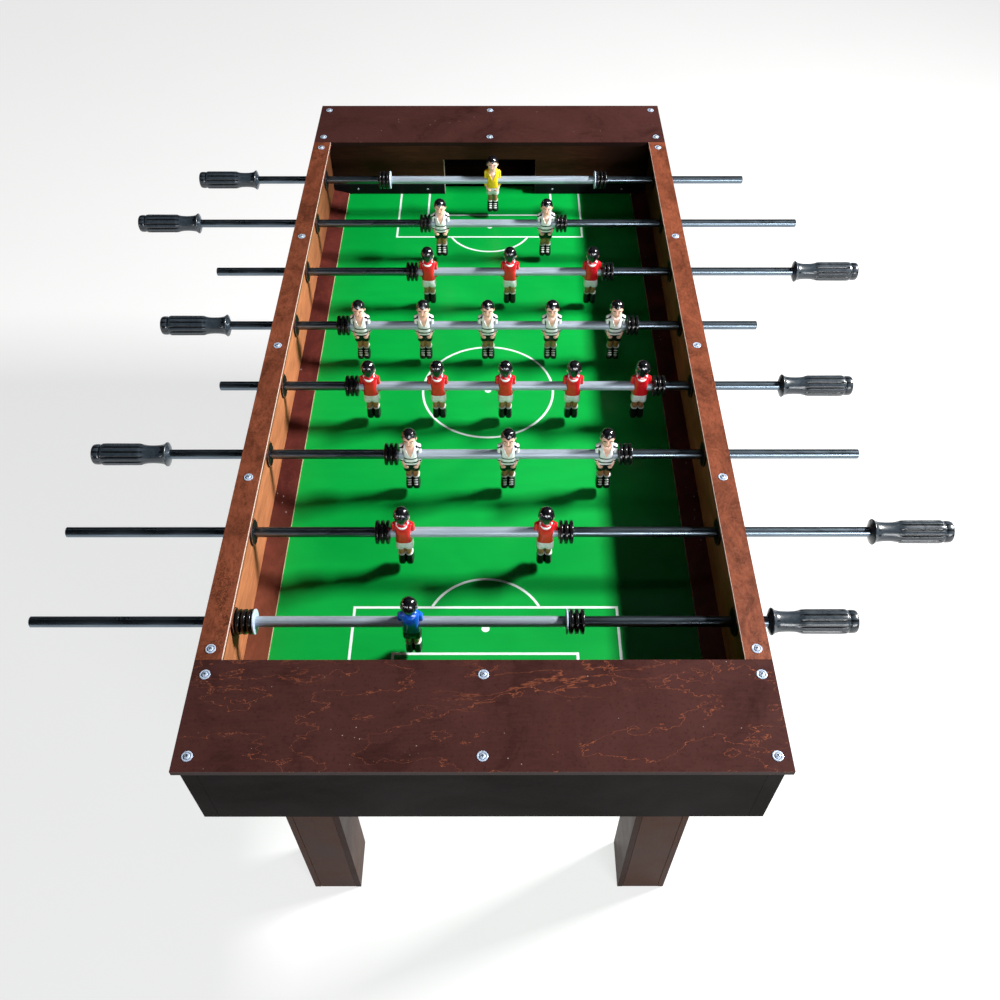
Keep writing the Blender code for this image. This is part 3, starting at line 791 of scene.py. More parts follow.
class FOOSBALL_OT_legs(bpy.types.Operator):
    """Box the square legs from boards"""

    bl_idname = "foosball.legs"
    bl_label = "Legs"
    bl_options = {"REGISTER", "UNDO"}

    def execute(self, context):
        c = colours()
        stain = finish_of("leg", stained_board, c.leg, c.top_vein, "Z", 0.42, 0.1, 0.2, 0.04)
        worn = (shade(c.leg, 0.55), None, "Z", 0.45, 0.0, 0.0, 0.04)
        edge = finish_of("leg_edge", stained_board, *worn)
        thick = LEG_BOARD
        line = LEG_JOINT
        for end in ("near", "far"):
            for side in ("left", "right"):
                node = "leg_%s_%s" % (end, side)
                low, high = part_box(node)
                form = Form()
                marks = ("face", "edge") if side == "left" else ("edge", "face")
                form.block((low.x, low.y, low.z), (low.x + thick, high.y, high.z), marks[0])
                form.block((high.x - thick, low.y, low.z), (high.x, high.y, high.z), marks[1])
                x0 = low.x + thick + line
                x1 = high.x - thick - line
                form.block((x0, low.y + line, low.z), (x1, low.y + thick, high.z), "face")
                form.block((x0, high.y - thick, low.z), (x1, high.y - line, high.z), "face")
                for z0, z1 in ((low.z + line, low.z + thick), (high.z - thick, high.z - line)):
                    form.block((x0, low.y + thick, z0), (x1, high.y - thick, z1), "face")
                made = piece(
                    "post_%s_%s" % (end, side),
                    form.mesh("post", {"face": stain, "edge": edge}),
                    "table",
                    replaces=(node,),
                )
                ease_edges(made, 0.5 * MM)
                paint_broad_faces(made)
        return {"FINISHED"}


def paint_broad_faces(made):
    """On the legs' edge boards, the broad faces take the leg stain; only the edges stay dark."""
    names = [m.name for m in made.data.materials]
    dark = names.index("leg_edge")
    plain = names.index("leg")
    for face in made.data.polygons:
        if face.material_index == dark and abs(face.normal.x) > 0.5:
            face.material_index = plain


class FOOSBALL_OT_pitch(bpy.types.Operator):
    """Finish the playfield and lay its white markings"""

    bl_idname = "foosball.pitch"
    bl_label = "Pitch"
    bl_options = {"REGISTER", "UNDO"}

    def execute(self, context):
        c = colours()
        dress("playfield", finish_of("pitch", printed_pitch, c.pitch))
        white = {"line": finish_of("marking", moulded, c.marking, 0.35, 0.3, 0.01, 300.0)}
        s = sizes()
        half = s.line_width / 2
        form = Form()
        self.ring(form, 0.0, 0.0, s.circle_radius, 0.0, 2 * math.pi, 128)
        self.disc(form, 0.0, 0.0, s.spot_radius)
        edge = STRIP_Y - 0.5 * MM
        boxes = ((s.penalty_half_width, s.penalty_line), (s.goal_half_width, s.goal_line))
        for end in (-1, 1):
            for wide, line in boxes:
                self.bar(form, -wide - half, wide + half, end * line - half, end * line + half)
                for hand in (-1, 1):
                    y0, y1 = sorted((end * (line + half), end * edge))
                    self.bar(form, hand * wide - half, hand * wide + half, y0, y1)
            self.disc(form, 0.0, end * s.penalty_spot, s.spot_radius)
            drop = s.penalty_spot - s.penalty_line + half
            sweep = math.acos(drop / s.penalty_arc)
            middle = -math.pi / 2 if end > 0 else math.pi / 2
            arc = (middle - sweep, middle + sweep, 64)
            self.ring(form, 0.0, end * s.penalty_spot, s.penalty_arc, *arc)
        piece("pitch_markings", form.mesh("pitch_markings", white, 20), "table")
        return {"FINISHED"}

    def bar(self, form, x0, x1, y0, y1):
        form.block((x0, y0, MARKING_LOW), (x1, y1, MARKING_HIGH), "line")

    def ring(self, form, cx, cy, radius, start, end, steps):
        half = sizes().line_width / 2
        whole = abs(end - start - 2 * math.pi) < 1e-6
        base = len(form.verts)
        count = steps if whole else steps + 1
        for i in range(count):
            a = start + (end - start) * i / steps
            for r, z in (
                (radius - half, MARKING_LOW), (radius + half, MARKING_LOW),
                (radius + half, MARKING_HIGH), (radius - half, MARKING_HIGH),
            ):
                form.verts.append(Vector((cx + r * math.cos(a), cy + r * math.sin(a), z)))
        for i in range(steps):
            a = base + i * 4
            b = base + ((i + 1) % count) * 4
            for k in range(4):
                m = (k + 1) % 4
                form.add((a + k, b + k, b + m, a + m), "line")
        if not whole:
            form.add((base, base + 1, base + 2, base + 3), "line")
            last = base + (count - 1) * 4
            form.add((last + 3, last + 2, last + 1, last), "line")

    def disc(self, form, cx, cy, radius):
        form.shell([circle(cx, cy, radius, z, 32) for z in (MARKING_LOW, MARKING_HIGH)], "line")


class FOOSBALL_OT_screws(bpy.types.Operator):
    """Set the plated screws in the top boards and the goal strips"""

    bl_idname = "foosball.screws"
    bl_label = "Screws"
    bl_options = {"REGISTER", "UNDO"}

    def execute(self, context):
        c = colours()
        s = sizes()
        # The dark finish is painted shade for the groove and the cross slot.
        zinc = {
            "zinc": finish_of("zinc_screw", plated, c.zinc, 0.30, 0.25),
            "dark": finish_of("recess", plated, (0.020, 0.028, 0.050), 0.40, 0.3),
        }
        large = self.head(s.screw_radius, 2.4 * MM).mesh("screw", zinc, 50)
        small = self.head(s.strip_screw_radius, 1.0 * MM).mesh("small_screw", zinc, 50)
        edge_x = HALF_WIDTH - SCREW_INSET_X
        chance = random.Random(7)
        for end, name in ENDS:
            for row, inset in enumerate(SCREW_ROWS, 1):
                for k, x in enumerate((-edge_x, 0.0, edge_x), 1):
                    at = (x, end * (TRIM_END_Y + inset), TABLE_TOP)
                    turn = (0, 0, chance.uniform(0, 6.28))
                    self.set(large, "screw_%s_%d_%d" % (name, row, k), at, turn)
        for side, name in SIDES:
            for k, y in enumerate(TRIM_SCREWS_Y, 1):
                turn = (0, 0, chance.uniform(0, 6.28))
                self.set(large, "screw_%s_%d" % (name, k), (side * edge_x, y, TABLE_TOP), turn)
        for end, name in ENDS:
            for k, x in enumerate(STRIP_SCREWS_X, 1):
                at = (x, end * STRIP_Y, FIELD_TOP + STRIP_SCREW_UP)
                turn = (math.radians(90 * end), 0.4, 0)
                self.set(small, "strip_screw_%s_%d" % (name, k), at, turn)
        return {"FINISHED"}

    def set(self, mesh, name, at, turn):
        made = bpy.data.objects.new(name, mesh)
        bpy.context.collection.objects.link(made)
        made.location = at
        made.rotation_euler = turn
        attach(made, "table")

    def head(self, radius, tall):
        """A domed washer head standing on z = 0, with painted shade: a dark ring in the groove under the dome and
        dark bars on the dome for the cross slot.
        """
        form = Form()
        stations = [(1.0, 0.0), (1.0, 0.22), (0.96, 0.30), (0.72, 0.34), (0.68, 0.26)]
        stations += [(0.58, 0.26), (0.56, 0.52)]
        dome = (0.3, 0.6, 0.9, 1.2, 1.4)
        stations += [(0.56 * math.cos(t), 0.52 + 0.40 * math.sin(t)) for t in dome]
        form.shell([circle(0, 0, radius * share, tall * up, 64) for share, up in stations], "zinc")
        # Painted shade: a dark ring lies in the groove under the dome.
        groove = [circle(0, 0, radius * share, tall * up, 64) for share, up in SCREW_GROOVE_SHADE]
        form.tyre(groove, "dark")
        # Painted shade: dark bars standing proud of the dome take the place of a sunk cross slot.
        long = 0.34 * radius
        wide = 0.075 * radius
        for turn in (0.0, math.pi / 2):
            corners = []
            for x, y in ((-long, -wide), (long, -wide), (long, wide), (-long, wide)):
                rx = x * math.cos(turn) - y * math.sin(turn)
                ry = x * math.sin(turn) + y * math.cos(turn)
                corners.append((rx, ry))
            form.prism(corners, (tall * 0.40, tall * 0.93), "dark")
        return form


class FOOSBALL_OT_rods(bpy.types.Operator):
    """Build the steel tubes, rubber bumpers, stop washers, end plugs and bushings"""

    bl_idname = "foosball.rods"
    bl_label = "Rods"
    bl_options = {"REGISTER", "UNDO"}

    def execute(self, context):
        c = colours()
        s = sizes()
        bright = finish_of("steel_bright", drawn_steel, c.steel_bright, 0.40, 0.35)
        dark = finish_of("steel_dark", drawn_steel, c.steel_dark, 0.25, 1.0)
        rubber = finish_of("rubber", moulded, c.rubber, 0.22, 0.40, 0.008, 900.0, 0.35)
        black = finish_of("bushing_black", moulded, c.rubber, 0.40, 0.0, 0.03, 900.0, 0.08)
        zinc = finish_of("zinc_washer", plated, c.zinc, 0.5, 0.15)
        for number in ROD_NUMBERS:
            pivot = JOINTS["rod_%d_spin" % number]["pos_m"]
            at = Vector((0.0, pivot[1], pivot[2]))
            low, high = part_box("rod_%d" % number)
            reach = JOINTS["rod_%d_slide" % number]["range_m"]
            stop = INNER_X + GAP - 4 * MM
            ends = (-stop - reach[0], stop - reach[1])
            form = Form()
            for x0, x1, mark in (
                (low.x, ends[0] + 2 * MM, "dark"),
                (ends[0] + 2 * MM, ends[1] - 2 * MM, "bright"),
                (ends[1] - 2 * MM, high.x, "dark"),
            ):
                form.turned(self.tube(x0, x1), mark, 48)
            body = "rod_%d" % number
            mesh = form.mesh("tube", {"bright": bright, "dark": dark})
            piece("tube_%d" % number, mesh, body, at, (body,))
            for x, (side, name) in zip(ends, SIDES):
                form = Form()
                form.turned(self.ribs(x, side), "rubber", 64, closed=True)
                mesh = form.mesh("bumper", {"rubber": rubber}, 60)
                piece("bumper_%d_%s" % (number, name), mesh, body, at)
                if number in GOALIE_RODS:
                    form = Form()
                    inner = x - side * BUMPER_SEAT
                    form.turned(self.washer(inner, side), "zinc", 64, closed=True)
                    mesh = form.mesh("stop", {"zinc": zinc})
                    piece("stop_%d_%s" % (number, name), mesh, body, at)
            self.plug(number, low, high, at, body, rubber)
            for side, name in SIDES:
                form = Form()
                form.turned(self.bushing(side), "black", 64, closed=True)
                mesh = form.mesh("bushing", {"black": black}, 40)
                piece("bushing_%d_%s" % (number, name), mesh, "table", at)
        return {"FINISHED"}

    def tube(self, x0, x1):
        """Profile of a length of tube with softened ends."""
        r = TUBE_RADIUS
        soft = 0.6 * MM
        return [(x0, r - soft), (x0 + soft, r), (x1 - soft, r), (x1, r - soft)]

    def plug(self, number, low, high, at, body, rubber):
        """A black plug in the tube's free end."""
        grip_low, grip_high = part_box("handle_%d" % number)
        left = grip_low.x > 0
        x = low.x if left else high.x
        out = -1 if left else 1
        form = Form()
        profile = ((-3.0, 5.4), (0.4, 5.4), (0.8, 4.6))
        form.turned([(x + out * along * MM, r * MM) for along, r in profile], "rubber", 32)
        piece("plug_%d" % number, form.mesh("plug", {"rubber": rubber}), body, at)

    def ribs(self, outer, side):
        """Closed profile of a bellows-shaped bumper that ends at outer."""
        count = sizes().ribs
        big = sizes().bumper_radius
        small = 10.8 * MM
        pitch = BUMPER_LENGTH / count
        profile = [(outer, SLEEVE_RADIUS)]
        for k in range(count):
            a = outer - side * k * pitch
            for share, r in (
                (0.05, small), (0.13, big - 1.5 * MM), (0.16, big - 0.6 * MM),
                (0.22, big - 0.1 * MM), (0.28, big), (0.62, big), (0.68, big - 0.1 * MM),
                (0.74, big - 0.6 * MM), (0.77, big - 1.5 * MM), (0.88, small),
            ):
                profile.append((a - side * share * pitch, r))
        profile.append((outer - side * BUMPER_LENGTH, SLEEVE_RADIUS))
        return profile

    def washer(self, inner, side):
        """Closed profile of a stop washer with eased rims."""
        big = STOP_RADIUS
        thick = 2.2 * MM
        edge = 0.5 * MM
        return [
            (inner, SLEEVE_RADIUS), (inner, big - edge), (inner - side * edge, big),
            (inner - side * (thick - edge), big),
            (inner - side * thick, big - edge),
            (inner - side * thick, SLEEVE_RADIUS),
        ]

    def bushing(self, side):
        """Flanged sleeve through the side panel, with a short collar on each face."""
        inner = INNER_X + GAP - 3.7 * MM
        outer = PANEL_OUTER_X + 0.5 * MM
        big = sizes().bushing_radius
        soft = 0.9 * MM
        flange = 3.4 * MM
        core = 11.0 * MM
        hole = 7.25 * MM
        half = [
            (inner, hole), (inner, 9.6 * MM), (inner + 0.35 * MM, 10.2 * MM),
            (inner + 0.45 * MM, big - 1.8 * MM), (inner + 0.45 * MM + soft, big),
            (inner + flange, big), (inner + flange, core), (outer - flange, core),
            (outer - flange, big), (outer - soft - 0.4 * MM, big),
            (outer - 0.4 * MM, big - 1.8 * MM), (outer - 0.3 * MM, 10.2 * MM),
            (outer, 9.6 * MM), (outer, hole),
        ]
        return [(side * x, r) for x, r in half]


class FOOSBALL_OT_handles(bpy.types.Operator):
    """Turn the fluted black handles"""

    bl_idname = "foosball.handles"
    bl_label = "Handles"
    bl_options = {"REGISTER", "UNDO"}

    def execute(self, context):
        c = colours()
        s = sizes()
        plastic = finish_of("handle_black", fluted_grip, c.handle, s.flutes)
        for number in ROD_NUMBERS:
            node = "handle_%d" % number
            low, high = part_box(node)
            pivot = JOINTS["rod_%d_spin" % number]["pos_m"]
            side = 1 if low.x > 0 else -1
            start = low.x if side > 0 else high.x
            long = high.x - low.x
            form = Form()
            profile = self.profile(start, side, long)
            form.turned(profile, "plastic", 144, self.flutes(start, long))
            mesh = form.mesh("grip", {"plastic": plastic}, 45)
            at = (0.0, pivot[1], pivot[2])
            piece("grip_%d" % number, mesh, "team_%d" % number, at, (node,))
        return {"FINISHED"}

    def profile(self, start, side, long):
        """Stations from the shoulder beside the table to the free end."""
        stations = [
            (0.0, 8.6), (1.2, 10.8), (3.2, 16.4), (3.9, 17.5), (4.6, 17.7), (5.3, 17.4),
            (7.0, 16.0), (9.6, 14.7), (13.0, 13.8), (19.0, 13.2), (26.0, 13.0), (33.0, 13.3),
            (39.0, 14.3), (42.0, 15.3), (43.5, 15.6), (45.0, 15.7), (47.0, 15.8), (50.0, 15.8),
            (60.0, 15.8), (75.0, 15.9), (90.0, 15.9),
        ]
        tail = [
            (16.0, 15.9), (14.6, 15.6), (13.4, 15.2), (12.8, 14.5), (12.2, 13.9), (11.2, 13.9),
            (10.6, 14.4), (9.6, 14.8), (6.0, 14.9), (3.0, 14.6), (1.4, 13.8), (0.5, 12.4),
            (0.1, 10.4), (0.0, 6.0),
        ]
        out = [(side * (abs(start) + x * MM), r * MM) for x, r in stations]
        out += [(side * (abs(start) + long - x * MM), r * MM) for x, r in tail]
        return self.finer(out)

    def finer(self, stations):
        """Add stations so that the flutes' ends come out smooth."""
        made = []
        for (xa, ra), (xb, rb) in zip(stations, stations[1:]):
            steps = max(1, int(abs(xb - xa) / (3.2 * MM)))
            for k in range(steps):
                t = k / steps
                made.append((xa + (xb - xa) * t, ra + (rb - ra) * t))
        made.append(stations[-1])
        return made

    def flutes(self, start, long):
        """How deep the grooves are at each place and angle."""
        count = sizes().flutes
        depth = sizes().flute_depth
        first = abs(start) + 38 * MM
        last = abs(start) + long - 14.5 * MM

        def ripple(x, angle):
            run_in = smooth_step((abs(x) - first) / (4 * MM))
            run_out = smooth_step((last - abs(x)) / (4 * MM))
            wave = math.cos(count * angle)
            groove = max(0.0, wave - 0.35) / 0.65
            return depth * run_in * run_out * groove ** 0.7

        return ripple


def smooth_step(value):
    t = max(0.0, min(1.0, value))
    return t * t * (3 - 2 * t)


# A player in millimetres about the rod. Lofts: (z, x, y, half width, half depth, squareness);
# limbs: (x, y, z, radius). Pieces that come in pairs are given for the +X side.
BOOT = (
    (-64.0, 5.2, -1.6, 3.8, 7.6, 1.5), (-63.0, 5.2, -2.0, 4.9, 9.2, 1.6),
    (-61.0, 5.2, -2.4, 5.5, 10.6, 1.6), (-58.5, 5.2, -2.4, 5.7, 10.8, 1.5),
    (-56.0, 5.2, -2.0, 5.6, 10.2, 1.4), (-53.5, 5.2, -1.2, 5.5, 9.0, 1.3),
    (-50.5, 5.2, -0.5, 5.3, 7.9, 1.2), (-47.0, 5.2, -0.1, 5.1, 7.2, 1.2),
    (-43.5, 5.2, 0.0, 5.0, 7.0, 1.2), (-41.5, 5.2, 0.0, 4.8, 6.8, 1.2),
)
SOCK = (
    (-43.6, 5.2, 0.0, 4.6, 6.4, 1.2), (-43.2, 5.2, 0.0, 5.2, 7.2, 1.2),
    (-42.5, 5.2, 0.0, 5.4, 7.4, 1.2), (-41.8, 5.2, 0.0, 5.2, 7.2, 1.2),
    (-41.4, 5.2, 0.0, 4.6, 6.4, 1.2),
)
SHIN = (
    (-41.0, 4.8, 0.0, 4.4, 6.2, 1.2), (-36.0, 4.8, 0.2, 4.6, 6.7, 1.2),
    (-31.0, 4.9, 0.2, 5.0, 7.1, 1.2), (-26.0, 5.1, 0.2, 5.2, 7.4, 1.2),
    (-20.0, 5.2, 0.2, 5.2, 7.4, 1.2),
)
THIGH = (
    (-27.6, 5.9, 0.0, 5.0, 7.6, 1.3), (-26.8, 5.9, 0.0, 6.2, 8.9, 1.35),
    (-23.0, 5.9, 0.0, 6.4, 9.3, 1.35), (-18.0, 5.6, 0.0, 6.2, 9.0, 1.35),
)
FOREARM = (
    (11.6, -3.6, -8.8, 2.6), (10.6, -6.0, -12.4, 2.7), (9.0, -8.2, -15.0, 2.6),
)
HIPS = (
    (-25.4, 0, 0, 10.6, 8.2, 1.35), (-24.0, 0, 0, 11.9, 9.5, 1.4),
    (-19.0, 0, 0, 12.1, 9.8, 1.4), (-13.0, 0, 0, 11.7, 9.7, 1.4), (-10.6, 0, 0, 10.8, 8.8, 1.4),
)
SHIRT = (
    (-13.2, 0, 0, 10.8, 8.4, 1.4), (-12.4, 0, 0, 12.0, 9.9, 1.45),
    (-9.0, 0, 0, 12.0, 10.2, 1.45), (-3.0, 0, 0, 11.2, 10.3, 1.4),
    (4.0, 0, 0, 11.0, 10.6, 1.35), (10.0, 0, 0.1, 11.4, 10.6, 1.3),
    (15.0, 0, 0.2, 12.2, 9.8, 1.25), (18.5, 0, 0.3, 12.4, 8.6, 1.2),
    (21.5, 0, 0.4, 10.8, 7.2, 1.1), (23.8, 0, 0.5, 8.2, 5.8, 1.0),
    (25.2, 0, 0.5, 5.5, 4.6, 1.0),
)
SLEEVE = (
    (10.2, 0.4, 19.8, 3.0), (12.0, 0.4, 18.0, 3.9), (12.7, 0.2, 12.5, 3.5),
    (13.0, -0.2, 6.0, 3.5), (13.0, -0.8, 0.0, 3.5), (12.9, -1.8, -5.5, 3.6),
    (12.5, -2.8, -10.2, 3.4),
)
NECK = ((0, 0.8, 18.0, 5.8), (0, 0.6, 24.0, 5.6), (0, 0.2, 29.0, 5.6))
SKULL = (
    (22.0, 0, -5.2, 2.4, 2.6, 1.1), (22.8, 0, -4.8, 4.2, 4.6, 1.15),
    (25.0, 0, -3.2, 6.2, 7.0, 1.15), (28.0, 0, -1.6, 8.0, 8.9, 1.15),
    (32.0, 0, -0.5, 9.3, 10.1, 1.1), (36.0, 0, 0.0, 9.8, 10.4, 1.05),
    (39.5, 0, 0.2, 9.4, 10.1, 1.0), (42.5, 0, 0.5, 7.6, 8.4, 1.0),
    (44.5, 0, 0.6, 5.0, 5.6, 1.0),
)
CHEST_DEPTH = (
    (-12.0, 9.8), (4.0, 10.6), (10.0, 10.5), (15.0, 9.6), (18.5, 8.3), (21.5, 6.8), (24.0, 5.4),
)
NOSE = ((0, -10.2, 36.4, 0.8), (0, -11.4, 33.6, 1.2), (0, -11.9, 31.8, 1.5), (0, -10.2, 30.8, 1.0))
BROW = ((1.6, -10.7, 36.0, 0.35), (3.9, -10.5, 36.8, 0.6), (6.6, -9.0, 36.0, 0.35))


def mirrored(rows, hand, column):
    """The same stations for the other side, with their X in the given column."""
    return [row[:column] + (hand * row[column],) + row[column + 1 :] for row in rows]


class FOOSBALL_OT_players(bpy.types.Operator):
    """Mould and paint the players"""

    bl_idname = "foosball.players"
    bl_label = "Players"
    bl_options = {"REGISTER", "UNDO"}

    def execute(self, context):
        meshes = {}
        for number, team in zip(ROD_NUMBERS, TEAMS):
            if team not in meshes:
                facing = -1 if team in ("yellow", "white") else 1
                meshes[team] = self.player(team, facing)
            pivot = JOINTS["rod_%d_spin" % number]["pos_m"]
            for node in frame["record"]["behaviour"]["bodies"]["team_%d" % number]:
                if not node.startswith("figure_"):
                    continue
                low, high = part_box(node)
                at = ((low.x + high.x) / 2, pivot[1], pivot[2])
                name = node.replace("figure", "player")
                piece(name, meshes[team], "team_%d" % number, at, (node,))
        return {"FINISHED"}

    def player(self, team, facing):
        """One player, drawn in millimetres about the rod's axis and facing -Y, then turned."""
        form = Form()
        self.legs(form)
        self.trunk(form, team)
        self.head(form)
        turn = Matrix.Identity(3) if facing < 0 else Matrix.Rotation(math.pi, 3, "Z")
        form.verts = [turn @ (p * MM) for p in form.verts]
        return form.mesh("player_" + team, player_finishes(team), 50)

    def legs(self, form):
        """Boots, socks, legs, shorts, forearms and hands."""
        for hand in (-1, 1):
            x = hand * 5.2
            form.loft(mirrored(BOOT, hand, 1), "black", 24)
            form.loft(mirrored(SOCK, hand, 1), "white", 24)
            form.loft(mirrored(SHIN, hand, 1), "legs", 24)
            for row in range(3):
                z = -47.2 - row * 3.6
                y = -7.8 - row * 1.45
                tilt = Matrix.Rotation(0.5, 3, "X")
                form.ball((x - hand * 0.5, y, z), (3.3, 1.3, 1.25), "white", 14, 8, tilt)
            form.loft(mirrored(THIGH, hand, 1), "shorts", 24)
            form.limb(mirrored(FOREARM, hand, 0), "skin")
            form.ball((hand * 7.0, -9.6, -16.8), (3.8, 2.1, 2.9), "skin", 18, 10)
        form.loft(HIPS, "shorts", 32)

    def trunk(self, form, team):
        """Shirt, sleeves, neck and neckline."""
        form.loft(SHIRT, "shirt", 36)
        for hand in (-1, 1):
            form.limb(mirrored(SLEEVE, hand, 0), "shirt", 18)
        form.limb(NECK, "skin", 20)
        self.neckline(form, 18.0 if team in ("white", "yellow") else 10.0)

    def neckline(self, form, depth):
        """Open V of the shirt on the chest, and a collar round the neck."""
        count = 12
        wide = 7
        top = 22.5
        rows = []
        for k in range(count + 1):
            half = 6.6 * (1 - k / count) ** 0.85 + 0.1
            z = top - depth * k / count
            across = [half * (j / 3 - 1) for j in range(wide)]
            rows.append([(x, -self.chest(z, x) - 0.35, z) for x in across])
        base = len(form.verts)
        for row in rows:
            form.verts += [Vector(p) for p in row]
        inner = len(form.verts)
        for row in rows:
            form.verts += [Vector((p[0], p[1] + 1.6, p[2])) for p in row]
        for i in range(count):
            for j in range(wide - 1):
                a = i * wide + j
                b = a + wide
                form.add((base + a, base + a + 1, base + b + 1, base + b), "skin")
                form.add((inner + a, inner + b, inner + b + 1, inner + a + 1), "skin")
        rim = [i * wide for i in range(count + 1)] + [count * wide + j for j in range(1, wide)]
        rim += [i * wide + wide - 1 for i in range(count - 1, -1, -1)]
        rim += list(range(wide - 2, 0, -1))
        for k, first in enumerate(rim):
            second = rim[(k + 1) % len(rim)]
            form.add((base + first, base + second, inner + second, inner + first), "skin")
        for hand in (-1, 1):
            lapel = [(hand * 6.8, 1.5, 23.4, 1.3)]
            for k in range(count + 1):
                z = top - depth * k / count
                x = hand * (6.8 * (1 - k / count) ** 0.85 + 0.8)
                lapel.append((x, -self.chest(z, x) - 0.30, z, 0.95))
            form.limb(lapel, "collar", 10)
        back = []
        for k in range(13):
            a = math.pi * k / 12
            back.append((7.2 * math.cos(a), 1.6 + 6.6 * math.sin(a), 23.0 - 5.4 * math.sin(a), 1.9))
        form.limb(back, "collar", 12)

    def chest(self, z, x):
        """How far the chest stands in front of the rod axis at this height and place."""
        return between(CHEST_DEPTH, z) * (1 - 0.16 * (abs(x) / 12.0) ** 2)

    def head(self, form):
        """A plain face: skull and jaw, nose, mouth, eyes, brows, ears and hair."""
        form.loft(SKULL, "skin", 30)
        form.limb(NOSE, "skin", 12)
        form.ball((0, -10.35, 27.8), (2.5, 0.7, 0.55), "lip", 14, 8)
        for hand in (-1, 1):
            form.ball((hand * 3.9, -9.75, 34.0), (1.7, 0.8, 0.75), "white", 12, 8)
            form.ball((hand * 3.8, -10.35, 34.0), (0.8, 0.4, 0.7), "black", 10, 8)
            form.limb([(hand * x, y, z, r) for x, y, z, r in BROW], "black", 8)
            form.ball((hand * 9.7, 0.6, 33.0), (1.3, 2.3, 3.1), "skin", 14, 8)
        self.hair(form)

    def hair(self, form):
        """A moulded cap of hair: locks over the crown, a peak at the brow, a point at the nape."""
        edge = (
            (0, 38.6), (12, 39.8), (24, 41.2), (44, 41.0), (58, 38.2), (66, 33.6), (74, 31.4),
            (84, 32.6), (100, 31.0), (120, 27.6), (145, 25.2), (165, 22.4), (180, 20.6),
        )
        around = 60
        levels = 20
        rings = []
        for i in range(levels + 1):
            t = i / levels
            ring = []
            for a in angles(around):
                foot = between(edge, abs(math.degrees(math.atan2(math.cos(a), -math.sin(a)))))
                z = foot + (49.7 - foot) * math.sin(t * math.pi / 2)
                if z > 36.5:
                    share = math.sqrt(max(0.0, 1 - ((z - 36.5) / 13.3) ** 2))
                    rx, ry = 10.9 * share, 11.4 * share
                else:
                    rx, ry = 10.9 - 0.28 * (36.5 - z), 11.4 - 0.30 * (36.5 - z)
                lock = math.sin(9 * a + 4 * t) * math.sin(7 * t + 2 * a)
                lock += 0.6 * math.sin(14 * a - 6 * t)
                swell = 0.42 * lock * math.sin(math.pi * min(1.0, 0.12 + t)) * min(1.0, 3 * (1 - t))
                if i == 0:
                    swell = -1.6
                x = (rx + swell) * math.cos(a)
                y = 0.5 + (ry + swell) * math.sin(a)
                ring.append((x, y, z + 0.3 * swell * t))
            rings.append(ring)
        form.shell(rings, "hair")


def between(table, value):
    """Reads a table of pairs, straight lines between its rows."""
    if value <= table[0][0]:
        return table[0][1]
    for (xa, ya), (xb, yb) in zip(table, table[1:]):
        if value <= xb:
            return ya + (yb - ya) * (value - xa) / (xb - xa)
    return table[-1][1]


# Name, place, aim, width and height, power and colour of each soft light.
LAMPS = (
    ("window_right", (2.25, 0.34, 2.42), (0, 0.05, 0.72), (0.62, 0.24), 208.0, (1.0, 0.99, 0.97)),
    ("window_front", (1.3, -3.3, 1.62), (0, -0.2, 0.75), (2.4, 0.9), 92.0, (0.96, 0.98, 1.0)),
    ("strip_above", (0, 0.55, 3.0), (0, 0.2, 0.75), (3.4, 0.10), 1.5, (0.92, 0.97, 1.0)),
    ("window_left", (-3.4, -2.2, 1.22), (0, 0, 0.75), (1.4, 0.22), 16.0, (0.90, 0.95, 1.0)),
)


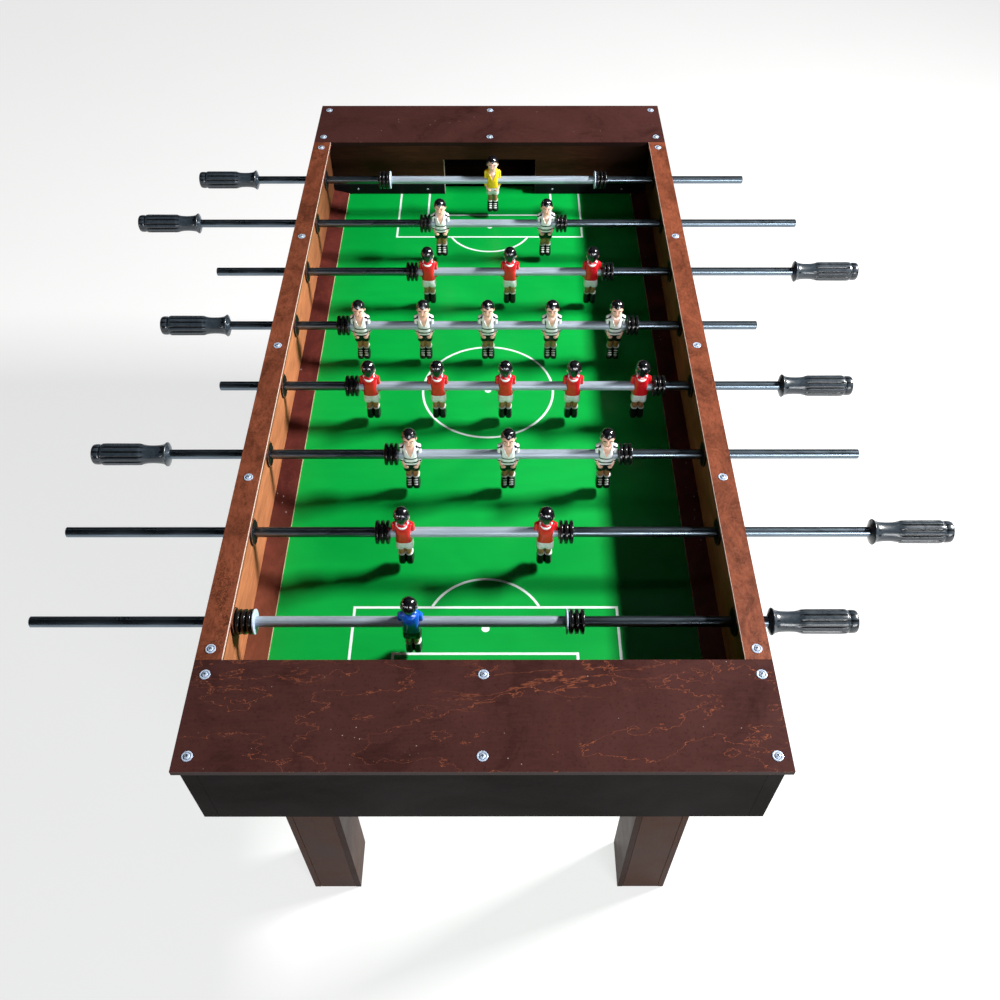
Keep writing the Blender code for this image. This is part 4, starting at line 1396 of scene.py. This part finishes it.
class FOOSBALL_OT_stage(bpy.types.Operator):
    """Set the floor, the soft lights and the camera"""

    bl_idname = "foosball.stage"
    bl_label = "Stage"
    bl_options = {"REGISTER", "UNDO"}

    def execute(self, context):
        self.floor()
        self.lights()
        self.camera()
        bpy.context.scene.view_settings.view_transform = "Standard"
        return {"FINISHED"}

    def floor(self):
        form = Form()
        form.block((-6, -6, -0.02), (6, 9, -0.0005), "floor")
        made = Finish("floor")
        tone = made.mix(made.noise(3, 2), (0.30, 0.30, 0.30), (0.33, 0.33, 0.33))
        made.shader.inputs["Emission Color"].default_value = (1, 1, 1, 1)
        made.shader.inputs["Emission Strength"].default_value = 0.72
        mesh = form.mesh("floor", {"floor": made.close(tone, 0.9)})
        floor = bpy.data.objects.new("floor", mesh)
        bpy.context.collection.objects.link(floor)

    def lights(self):
        world = bpy.data.worlds.new("studio")
        world.use_nodes = True
        ambient = world.node_tree.nodes["Background"]
        ambient.inputs["Color"].default_value = (0.88, 0.94, 1.0, 1.0)
        ambient.inputs["Strength"].default_value = 0.006
        bpy.context.scene.world = world
        for lamp in LAMPS:
            self.window(*lamp)

    def window(self, name, at, aim, size, power, tint):
        data = bpy.data.lights.new(name, "AREA")
        data.shape = "RECTANGLE"
        data.size, data.size_y = size
        data.energy = power
        data.color = tint
        lamp = bpy.data.objects.new(name, data)
        lamp.location = at
        lamp.rotation_euler = (Vector(aim) - Vector(at)).to_track_quat("-Z", "Y").to_euler()
        bpy.context.collection.objects.link(lamp)

    def camera(self):
        data = bpy.data.cameras.new("camera")
        data.lens = 34.99
        data.sensor_width = 36.0
        camera = bpy.data.objects.new("camera", data)
        camera.location = (0.019, -1.170, 1.800)
        camera.rotation_euler = (math.radians(40.0), 0.0, math.radians(-0.04))
        bpy.context.collection.objects.link(camera)
        bpy.context.scene.camera = camera


class FOOSBALL_PT_panel(bpy.types.Panel):
    """The pieces of the table, in the 3D view's sidebar"""

    bl_idname = "FOOSBALL_PT_panel"
    bl_label = "Foosball table"
    bl_space_type = "VIEW_3D"
    bl_region_type = "UI"
    bl_category = "Foosball"

    def draw(self, context):
        for step in STEPS:
            self.layout.operator(step.bl_idname)


STEPS = (
    FOOSBALL_OT_stage,
    FOOSBALL_OT_boards,
    FOOSBALL_OT_legs,
    FOOSBALL_OT_pitch,
    FOOSBALL_OT_screws,
    FOOSBALL_OT_rods,
    FOOSBALL_OT_handles,
    FOOSBALL_OT_players,
)
CLASSES = (TableSizes, TableColours, *STEPS, FOOSBALL_PT_panel)


def register():
    for item in CLASSES:
        bpy.utils.register_class(item)
    bpy.types.Scene.foosball_sizes = PointerProperty(type=TableSizes)
    bpy.types.Scene.foosball_colours = PointerProperty(type=TableColours)


def unregister():
    del bpy.types.Scene.foosball_colours
    del bpy.types.Scene.foosball_sizes
    for item in reversed(CLASSES):
        bpy.utils.unregister_class(item)


def main():
    register()
    for step in STEPS:
        group, action = step.bl_idname.split(".")
        getattr(getattr(bpy.ops, group), action)()


if __name__ == "__main__":
    main()
